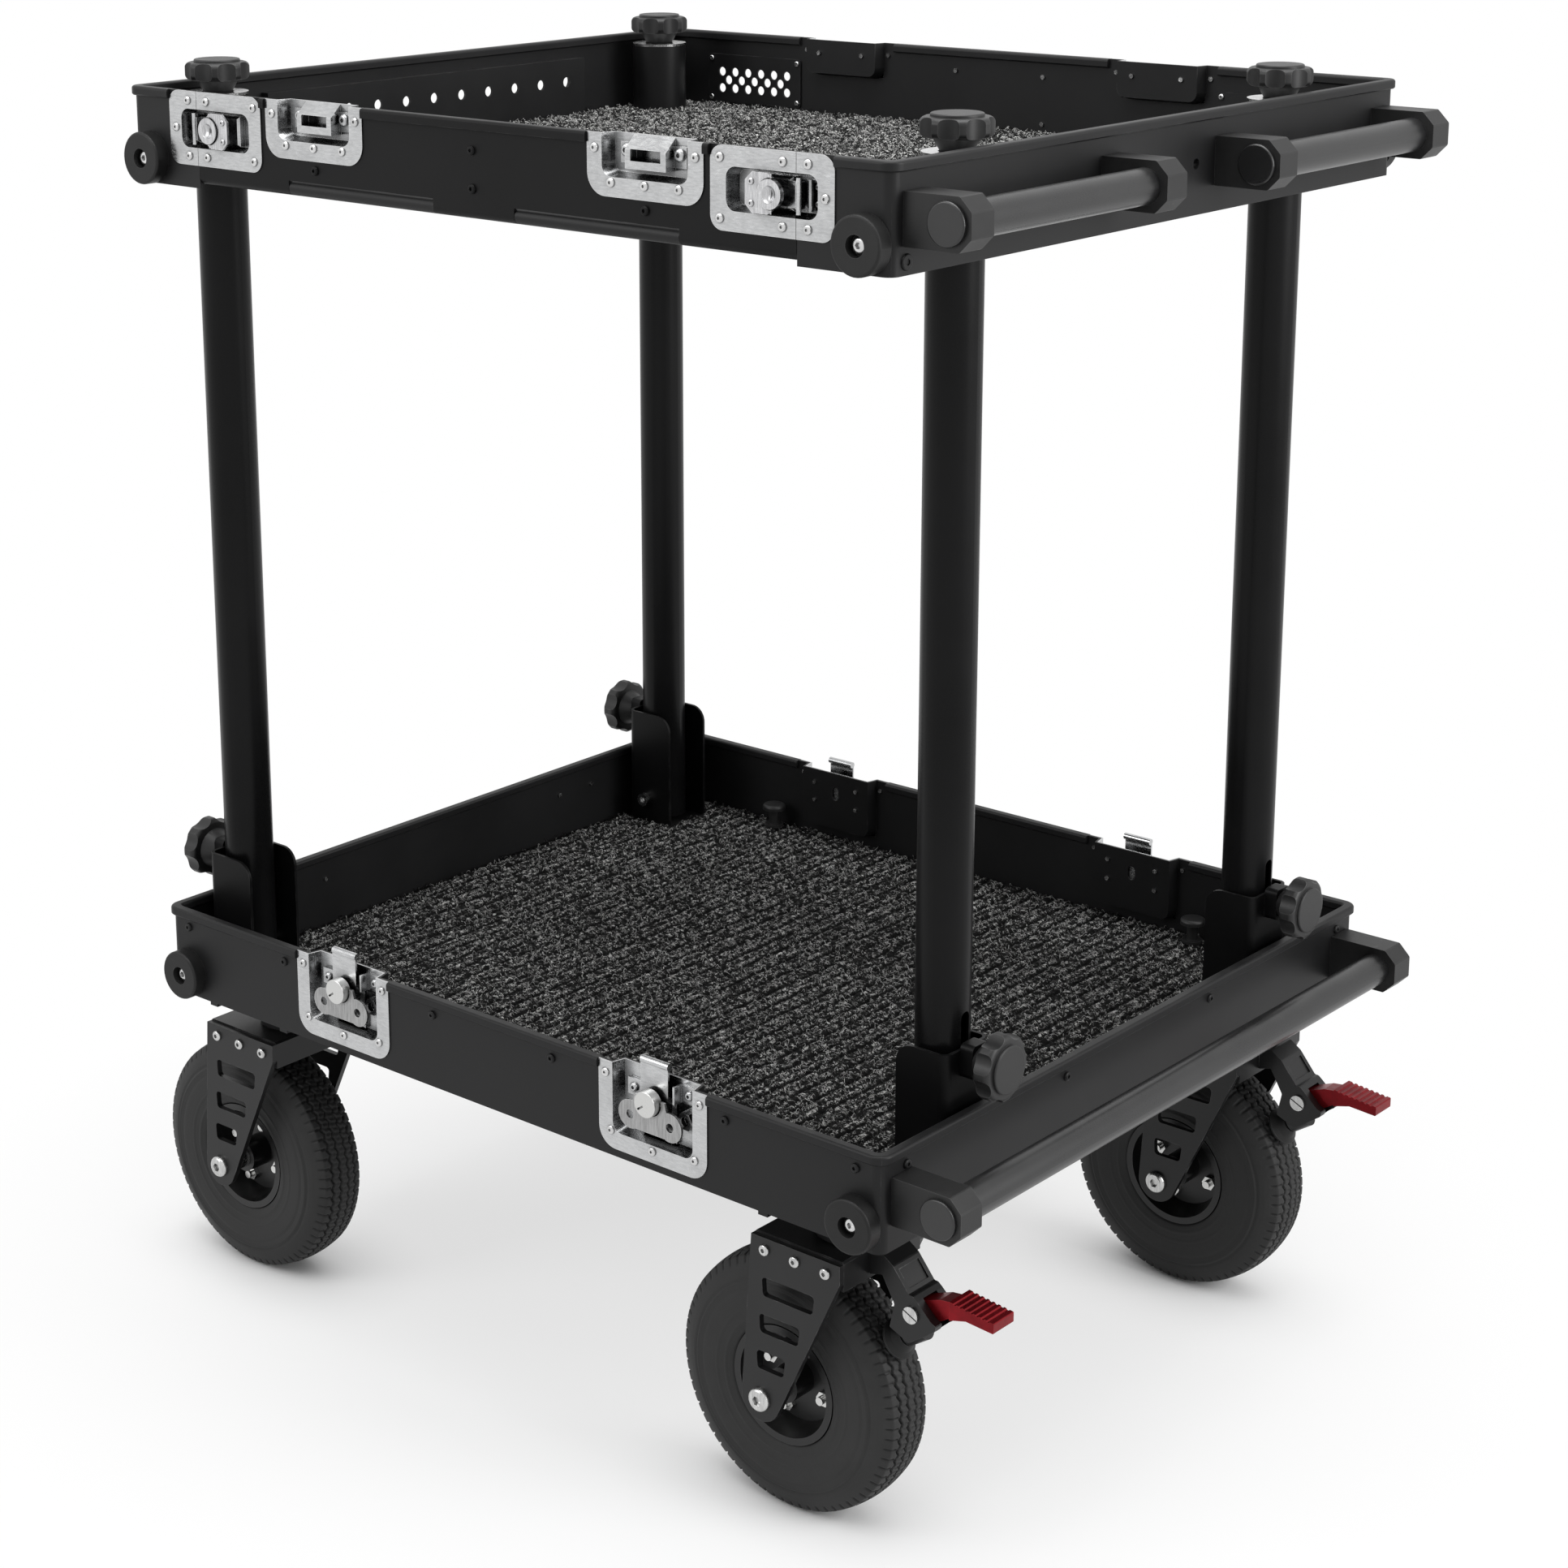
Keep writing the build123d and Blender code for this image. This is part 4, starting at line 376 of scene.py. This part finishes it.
def mesh_piece(name, vertices, faces, material, smooth=True):
    """A new mesh object from plain arrays, faces all of the same corner count."""
    mesh = bpy.data.meshes.new(name)
    vertices = np.asarray(vertices, np.float32)
    faces = np.asarray(faces, np.int32)
    corners = faces.shape[1]
    mesh.vertices.add(len(vertices))
    mesh.vertices.foreach_set("co", vertices.ravel())
    mesh.loops.add(faces.size)
    mesh.loops.foreach_set("vertex_index", faces.ravel())
    mesh.polygons.add(len(faces))
    mesh.polygons.foreach_set("loop_start", np.arange(0, faces.size, corners, dtype=np.int32))
    mesh.polygons.foreach_set("use_smooth", np.full(len(faces), smooth))
    mesh.update(calc_edges=True)
    mesh.validate()
    mesh.materials.append(material)
    piece = bpy.data.objects.new(name, mesh)
    bpy.context.scene.collection.objects.link(piece)
    return piece


# Ribbed carpets, each a closed sheet with tufted ribs that run across the cart.
# All lengths here are in millimetres. Each pitch holds a deep and a shallow valley.
TRAY_END = 466.0
RIB_PITCH = 22.4
RIB_DEPTH = 4.4
RIB_POWER = 0.6
SHALLOW_VALLEY = 0.4
RIB_WANDER = 0.6
CELLS_PER_RIB = 10
ROW_STEP = 2.4
CREST_DROP = 0.8
EDGE_DROP = 1.6
LEAST_THICKNESS = 1.5
MOST_RISE = 0.9
BASE_LIFT = 0.05
TUFT_HEIGHT = 0.4
TUFT_SHIFT = 0.35
HOLE_ROOM = 1.8
FIBRE_COUNT = 22000
FIBRE_RADIUS = 0.34
FIBRE_SIDES = 3
FIBRE_RINGS = 6
FIBRE_ROOT_DROP = 2.4
FIBRE_MOST_RISE = 2.6


def wobble(x, y, wave, seed):
    """Smooth noise from a few turned sine waves, from -1 to 1."""
    rng = np.random.default_rng(seed)
    total = np.zeros_like(x)
    for _ in range(7):
        angle = rng.uniform(0, 2 * math.pi)
        length = wave * rng.uniform(0.7, 1.5)
        phase = rng.uniform(0, 2 * math.pi)
        total += np.sin((x * math.cos(angle) + y * math.sin(angle)) * 2 * math.pi / length
                        + phase)
    return total / 4.0


def carpet(name, node, body, cuts, holes, seed):
    """A carpet in the place of its CAD sheet. Cuts are boxes, holes are circles."""
    low, high = (np.array(c) * 1000 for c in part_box(node))
    columns = int(round((high[0] - low[0]) / RIB_PITCH * CELLS_PER_RIB))
    rows = int(round((high[1] - low[1]) / ROW_STEP))
    xs = np.linspace(low[0], high[0], columns + 1)
    ys = np.linspace(low[1], high[1], rows + 1)
    for x0, x1, y0, y1 in cuts:
        for edges, line in ((xs, x0), (xs, x1), (ys, y0), (ys, y1)):
            near = np.argmin(abs(edges - line))
            if 0 < near < len(edges) - 1:
                edges[near] = line
    middle_x, middle_y = np.meshgrid((xs[1:] + xs[:-1]) / 2, (ys[1:] + ys[:-1]) / 2,
                                     indexing="ij")
    keep = np.ones_like(middle_x, bool)
    for x0, x1, y0, y1 in cuts:
        keep &= ~((middle_x > x0) & (middle_x < x1) & (middle_y > y0) & (middle_y < y1))
    for x, y, radius in holes:
        keep &= (middle_x - x) ** 2 + (middle_y - y) ** 2 > (radius + HOLE_ROOM) ** 2
    gx, gy = np.meshgrid(xs, ys, indexing="ij")
    rng = np.random.default_rng(seed)
    phase = math.pi * (gx + RIB_WANDER * wobble(gx, gy, 60, seed)) / RIB_PITCH
    deep = np.abs(np.cos(phase)) ** RIB_POWER
    shallow = np.abs(np.sin(phase)) ** RIB_POWER
    rib = np.minimum(deep, SHALLOW_VALLEY + (1 - SHALLOW_VALLEY) * shallow)
    tuft = rng.normal(0, 1, gx.shape)
    top = high[2] - CREST_DROP - RIB_DEPTH * (1 - rib)
    top += 0.5 * wobble(gx, gy, 5.5, seed + 1) + TUFT_HEIGHT * tuft
    top = np.clip(top, low[2] + LEAST_THICKNESS, high[2] + MOST_RISE)
    inside = np.zeros(gx.shape, int)
    inside[:-1, :-1] += keep
    inside[1:, :-1] += keep
    inside[:-1, 1:] += keep
    inside[1:, 1:] += keep
    border = inside < 4
    shift_x = TUFT_SHIFT * rng.normal(0, 1, gx.shape)
    shift_y = TUFT_SHIFT * rng.normal(0, 1, gx.shape)
    top = np.where(border, np.minimum(top, high[2] - EDGE_DROP), top)
    px = gx + np.where(border, 0, shift_x)
    py = gy + np.where(border, 0, shift_y)
    count = gx.size
    index = np.arange(count).reshape(gx.shape)
    upper = np.stack([px, py, top], -1).reshape(-1, 3)
    lower = np.stack([gx, gy, np.full_like(gx, low[2] + BASE_LIFT)], -1).reshape(-1, 3)
    i, j = np.nonzero(keep)
    a, b = index[i, j], index[i + 1, j]
    c, d = index[i + 1, j + 1], index[i, j + 1]
    faces = [np.stack([a, b, c, d], 1), np.stack([a, d, c, b], 1) + count]
    padded = np.pad(keep, 1)
    sides = (
        (padded[:-2, 1:-1], a, d, True),
        (padded[2:, 1:-1], b, c, False),
        (padded[1:-1, :-2], a, b, False),
        (padded[1:-1, 2:], d, c, True),
    )
    for neighbour, first, second, flip in sides:
        open_side = ~neighbour[i, j]
        p, q = first[open_side], second[open_side]
        if flip:
            p, q = q, p
        faces.append(np.stack([q, p, p + count, q + count], 1))
    faces = np.concatenate(faces)
    ribs = np.tile(np.where(border, 0.5, rib).reshape(-1), 2)
    used = np.unique(faces)
    remap = np.zeros(2 * count, np.int64)
    remap[used] = np.arange(len(used))
    vertices = np.concatenate([upper, lower])[used] * MM
    piece = mesh_piece(name, vertices, remap[faces], finishes["carpet"])
    attribute = piece.data.attributes.new("rib", "FLOAT", "POINT")
    attribute.data.foreach_set("value", ribs[used].astype(np.float32))
    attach(piece, body)
    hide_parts(node)
    return piece, keep, xs, ys, high[2]


def fibres(name, body, field, seed):
    """Loose curled yarn ends standing out of the ribs, as thin three-sided tubes."""
    count = FIBRE_COUNT
    keep, xs, ys, level = field
    rng = np.random.default_rng(seed)
    i, j = np.nonzero(keep)
    pick = rng.integers(0, len(i), count)
    place = (xs[i[pick]] + xs[i[pick] + 1]) / RIB_PITCH
    crest = (np.floor(place) + 0.5) * RIB_PITCH / 2
    base = np.stack([
        crest + rng.normal(0, 1.9, count),
        (ys[j[pick]] + ys[j[pick] + 1]) / 2 + rng.normal(0, 0.8, count),
        np.full(count, level - FIBRE_ROOT_DROP),
    ], 1)
    heading = rng.uniform(0, 2 * math.pi, count)
    along = np.stack([np.cos(heading), np.sin(heading), np.zeros(count)], 1)
    reach = rng.uniform(2.2, 5.5, count)[:, None]
    rise = rng.uniform(2.0, 3.6, count)[:, None]
    across = np.stack([-along[:, 1], along[:, 0], np.zeros(count)], 1)
    bend = rng.normal(0, 1.1, count)[:, None]
    up = np.array([0, 0, 1.0])
    steps = np.linspace(0, 1, FIBRE_RINGS)
    rings = []
    for t in steps:
        height = math.sin(t * math.pi * 0.92)
        centre = base + along * reach * t + across * bend * math.sin(t * 4.2) + up * rise * height
        for k in range(FIBRE_SIDES):
            angle = 2 * math.pi * k / FIBRE_SIDES
            offset = across * math.cos(angle) + up * math.sin(angle)
            rings.append(centre + offset * FIBRE_RADIUS * (1.0 - 0.35 * t))
    vertices = np.stack(rings, 1)
    vertices[..., 2] = np.minimum(vertices[..., 2], level + FIBRE_MOST_RISE)
    vertices[..., 0] = np.clip(vertices[..., 0], xs[0], xs[-1])
    vertices[..., 1] = np.clip(vertices[..., 1], ys[0], ys[-1])
    per = vertices.shape[1]
    quads = []
    for s in range(len(steps) - 1):
        for k in range(FIBRE_SIDES):
            a = FIBRE_SIDES * s + k
            b = FIBRE_SIDES * s + (k + 1) % FIBRE_SIDES
            quads.append((a, b, b + FIBRE_SIDES, a + FIBRE_SIDES))
    quads = np.array(quads)
    faces = (np.arange(count)[:, None, None] * per + quads[None]).reshape(-1, 4)
    piece = mesh_piece(name, vertices.reshape(-1, 3) * MM, faces, fibre_finish)
    shade = np.repeat(rng.uniform(0, 1, count), per).astype(np.float32)
    attribute = piece.data.attributes.new("strand", "FLOAT", "POINT")
    attribute.data.foreach_set("value", shade)
    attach(piece, body)
    return piece


fibre_finish = fibre_material("yarn_ends")
LEG_PLACES = {
    "front_left": (-422.0, -327.0),
    "front_right": (-422.0, 327.0),
    "rear_left": (423.0, -256.0),
    "rear_right": (423.0, 256.0),
}
BRACKET_HALF = 33.5
FRONT_BRACKET_REACH = 37.0
REAR_BRACKET_REACH = 28.0
POST_PLACES = ((-290.0, 374.0), (290.0, 374.0))
POST_HOLE = 6.3
SOCKET_HOLE = 30.3
RAIL_BACK = -449.0
RAIL_HALF = 236.0
lower_cuts = []
for x, y in LEG_PLACES.values():
    out = math.copysign(1, x)
    reach = FRONT_BRACKET_REACH if x < 0 else REAR_BRACKET_REACH
    x0, x1 = sorted((x - out * reach, out * TRAY_END))
    lower_cuts.append((x0, x1, y - BRACKET_HALF, y + BRACKET_HALF))
lower_holes = [(x, y, POST_HOLE) for x, y in POST_PLACES]
upper_cuts = [(-TRAY_END, RAIL_BACK, -RAIL_HALF, RAIL_HALF)]
upper_holes = [(x, y, SOCKET_HOLE) for x, y in LEG_PLACES.values()]

for name, node, body, cuts, holes, seed, rests in (
    ("lower_carpet_pile", "lower_carpet", "cart_base", lower_cuts, lower_holes, SEED,
     "lower_tray"),
    ("upper_carpet_pile", "upper_carpet", "top_tray", upper_cuts, upper_holes, SEED + 9,
     "upper_tray"),
):
    sheet, *field = carpet(name, node, body, cuts, holes, seed)
    ends = fibres(name + "_fibres", body, field, seed + 3)
    low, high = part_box(node)


# Tyres: ringed sides, blocked shoulders and zigzag grooves round the tread
WHEEL_RADIUS = 127.0
TYRE_HALF = 34.0
TREAD_HALF = 24.0
CROWN_DROP = 3.2
GROOVE_PLACES = (-15.5, -5.5, 5.5, 15.5)
GROOVE_DEPTH = 3.0
ZIGZAG = 1.6
LUG_COUNT = 72
LUG_DEPTH = 2.2
SIPE_DEPTH = 0.9
TYRE_STEPS = 576
SIDE_PROFILE = (
    (54.0, 27.0), (58.0, 27.0), (59.6, 30.4), (64.0, 32.0), (72.0, 33.0), (81.0, 33.7),
    (90.0, 33.9), (98.0, 33.5), (105.0, 32.4), (111.0, 30.6), (116.0, 28.4),
    (120.0, 26.3), (123.4, 24.2),
)


def smooth_step(value, low, high):
    t = np.clip((value - low) / (high - low), 0, 1)
    return t * t * (3 - 2 * t)


def ring(radius, at, width):
    """A small raised ring on the tyre's side."""
    return np.exp(-((radius - at) / width) ** 2)


def tyre_mesh(name):
    side = np.array(SIDE_PROFILE)
    length = np.concatenate([[0], np.cumsum(np.linalg.norm(np.diff(side, axis=0), axis=1))])
    fine = np.concatenate([[0.0, 4.0], np.linspace(7.7, length[-1], 46)])
    side = np.stack([np.interp(fine, length, side[:, 0]), np.interp(fine, length, side[:, 1])], 1)
    crown_y = np.linspace(TREAD_HALF - 0.7, -TREAD_HALF + 0.7, 61)
    crown = np.stack([WHEEL_RADIUS - CROWN_DROP * (crown_y / TREAD_HALF) ** 2, crown_y], 1)
    left = side[::-1] * (1, -1)
    profile = np.concatenate([side, crown, left])
    tangent = np.roll(profile, -1, 0) - np.roll(profile, 1, 0)
    normal = np.stack([-tangent[:, 1], tangent[:, 0]], 1)
    normal /= np.linalg.norm(normal, axis=1)[:, None]
    radius, y = profile[:, 0], profile[:, 1]
    turn = np.arange(TYRE_STEPS) / TYRE_STEPS * 2 * math.pi
    r, t = np.meshgrid(radius, turn)
    yy = np.meshgrid(y, turn)[0]
    raised = 0.9 * ring(r, 67, 1.0) + 0.8 * ring(r, 100.5, 0.9) - 1.0 * ring(r, 103.5, 1.0)
    raised += 0.6 * ring(r, 76.5, 0.8) - 0.8 * ring(r, 95, 0.8)
    raised *= (np.abs(yy) > 27.5) & (r > 62)
    lug = t * LUG_COUNT / (2 * math.pi)
    zig = ZIGZAG * (np.abs((lug % 1) * 2 - 1) * 2 - 1)
    dug = np.zeros_like(r)
    on_crown = (np.abs(yy) < TREAD_HALF) & (r > 121)
    for middle in GROOVE_PLACES:
        near = np.abs(yy - middle - zig)
        dug = np.maximum(dug, GROOVE_DEPTH * (1 - smooth_step(near, 0.7, 1.5)))
    sipe = np.abs(((lug + 0.25 * np.sign(yy)) % 1) - 0.5)
    sipe = 1 - smooth_step(sipe, 0.05, 0.13)
    shoulder = smooth_step(np.abs(yy), 17.5, 19) * (r > 108)
    dug = np.where(on_crown, dug, 0)
    dug = np.maximum(dug, LUG_DEPTH * sipe * shoulder * smooth_step(r, 116, 120))
    centre = (np.abs(yy) < 16) & on_crown
    fine_sipe = np.abs(((2 * lug + yy * 0.05) % 1) - 0.5)
    dug = np.maximum(dug, SIPE_DEPTH * (1 - smooth_step(fine_sipe, 0.06, 0.16)) * centre)
    shift = raised - dug
    r2 = r + normal[None, :, 0] * shift
    y2 = yy + normal[None, :, 1] * shift
    r2 = np.minimum(r2, WHEEL_RADIUS)
    y2 = np.clip(y2, -TYRE_HALF, TYRE_HALF)
    vertices = np.stack([r2 * np.cos(t), y2, r2 * np.sin(t)], -1).reshape(-1, 3) * MM
    rows, columns = r.shape
    index = np.arange(rows * columns).reshape(rows, columns)
    following = np.roll(index, -1, 0)
    faces = np.stack([
        index, np.roll(index, -1, 1), np.roll(following, -1, 1), following
    ], -1).reshape(-1, 4)
    return mesh_piece(name, vertices, faces, finishes["tyre_black"])


first = None
for corner in LEG_PLACES:
    node = corner + "_tyre"
    low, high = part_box(node)
    if first is None:
        first = tyre_mesh(node + "_tread")
        piece = first
    else:
        piece = bpy.data.objects.new(node + "_tread", first.data)
        bpy.context.scene.collection.objects.link(piece)
    piece.location = (low + high) / 2
    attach(piece, corner + "_wheel")
    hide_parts(node)


# Floor, light and camera
def floor_material():
    f = Finish("studio_floor", roughness=0.7, specular=0.2)
    tone = f.spread(f.noise(3.0, 3.0), 0.3, 0.7, 0.0, 1.0)
    colour = f.mix(tone, (0.86, 0.86, 0.86), (0.88, 0.88, 0.88))
    f.put(f.shader.inputs["Base Color"], colour)
    backdrop = f.add("ShaderNodeEmission", {"Color": (1, 1, 1, 1), "Strength": 1.0})
    distance = f.add("ShaderNodeVectorMath", {0: f.coords}, operation="LENGTH")
    path = f.add("ShaderNodeLightPath").outputs
    seen = f.sum(path["Is Camera Ray"], path["Is Glossy Ray"], "MAXIMUM")
    seen = f.sum(seen, path["Is Transmission Ray"], "MAXIMUM")
    lift = f.spread(distance.outputs["Value"], 0.45, 1.0, 0.66, 1.0)
    # Painted contact shadow: occlusion dims the white glow around the wheels and under the cart,
    # so the lit floor's shade shows there.
    lift = f.sum(lift, f.occlusion(110 * MM, 0.3, 0.88), "MULTIPLY")
    fade = f.sum(lift, seen, "MULTIPLY")
    joined = f.add("ShaderNodeMixShader", {0: fade, 1: f.shader.outputs[0],
                                           2: backdrop.outputs[0]})
    f.links.new(joined.outputs[0], f.nodes["Material Output"].inputs["Surface"])
    return f.material


FLOOR_HALF = 14.0
corners = [(-FLOOR_HALF, -FLOOR_HALF, 0), (FLOOR_HALF, -FLOOR_HALF, 0),
           (FLOOR_HALF, FLOOR_HALF, 0), (-FLOOR_HALF, FLOOR_HALF, 0)]
floor = mesh_piece("floor", corners, [(0, 1, 2, 3)], floor_material(), smooth=False)


def background(tree, strength):
    """A plain white background of one strength."""
    node = tree.nodes.new("ShaderNodeBackground")
    node.inputs["Color"].default_value = (1, 1, 1, 1)
    node.inputs["Strength"].default_value = strength
    return node.outputs[0]


def larger(tree, a, b):
    """The larger of two values."""
    node = tree.nodes.new("ShaderNodeMath")
    node.operation = "MAXIMUM"
    tree.links.new(a, node.inputs[0])
    tree.links.new(b, node.inputs[1])
    return node.outputs[0]


def studio_world(fill):
    """Even light for the piece, and plain white where the world itself is seen."""
    world = bpy.data.worlds.new("studio")
    world.use_nodes = True
    tree = world.node_tree
    tree.nodes.clear()
    path = tree.nodes.new("ShaderNodeLightPath").outputs
    seen = larger(tree, path["Is Camera Ray"], path["Is Glossy Ray"])
    seen = larger(tree, seen, path["Is Transmission Ray"])
    blend = tree.nodes.new("ShaderNodeMixShader")
    tree.links.new(seen, blend.inputs[0])
    tree.links.new(background(tree, fill), blend.inputs[1])
    tree.links.new(background(tree, 1.0), blend.inputs[2])
    output = tree.nodes.new("ShaderNodeOutputWorld")
    tree.links.new(blend.outputs[0], output.inputs["Surface"])
    return world


bpy.context.scene.world = studio_world(0.42)


def softbox(name, place, target, size, power):
    lamp = bpy.data.lights.new(name, "AREA")
    lamp.shape = "RECTANGLE"
    lamp.size, lamp.size_y = size
    lamp.energy = power
    holder = bpy.data.objects.new(name, lamp)
    bpy.context.scene.collection.objects.link(holder)
    holder.location = place
    direction = Vector(target) - Vector(place)
    holder.rotation_euler = direction.to_track_quat("-Z", "Y").to_euler()
    return holder


softbox("overhead", (0.2, -0.2, 3.6), (0, 0, 0.6), (2.6, 2.6), 100)
softbox("key", (-1.8, -3.2, 2.6), (0, 0, 0.7), (1.8, 1.8), 42)
softbox("fill_right", (3.6, 0.8, 2.0), (0, 0, 0.7), (1.6, 2.2), 95)

CAMERA_PLACE = (1.9685, -2.3684, 1.5919)
CAMERA_YAW = 41.52
CAMERA_PITCH = 14.32
CAMERA_ROLL = -0.39
FOCAL_PIXELS = 3883.4
AXIS_PIXEL = (820.0, 676.0)
FRAME_PIXELS = 1932.0
yaw, pitch, roll = (math.radians(v) for v in (CAMERA_YAW, CAMERA_PITCH, CAMERA_ROLL))
forward = Vector((-math.sin(yaw) * math.cos(pitch), math.cos(yaw) * math.cos(pitch),
                  -math.sin(pitch)))
level_right = forward.cross(Vector((0, 0, 1))).normalized()
level_up = level_right.cross(forward)
right = level_right * math.cos(roll) + level_up * math.sin(roll)
up = level_up * math.cos(roll) - level_right * math.sin(roll)
matrix = Matrix((right, up, -forward)).transposed().to_4x4()
matrix.translation = CAMERA_PLACE
lens = bpy.data.cameras.new("camera")
lens.sensor_width = 36.0
lens.lens = FOCAL_PIXELS / FRAME_PIXELS * lens.sensor_width
lens.shift_x = (FRAME_PIXELS / 2 - AXIS_PIXEL[0]) / FRAME_PIXELS
lens.shift_y = (AXIS_PIXEL[1] - FRAME_PIXELS / 2) / FRAME_PIXELS
camera = bpy.data.objects.new("camera", lens)
bpy.context.scene.collection.objects.link(camera)
camera.matrix_world = matrix
bpy.context.scene.camera = camera
bpy.context.scene.view_settings.view_transform = "Standard"
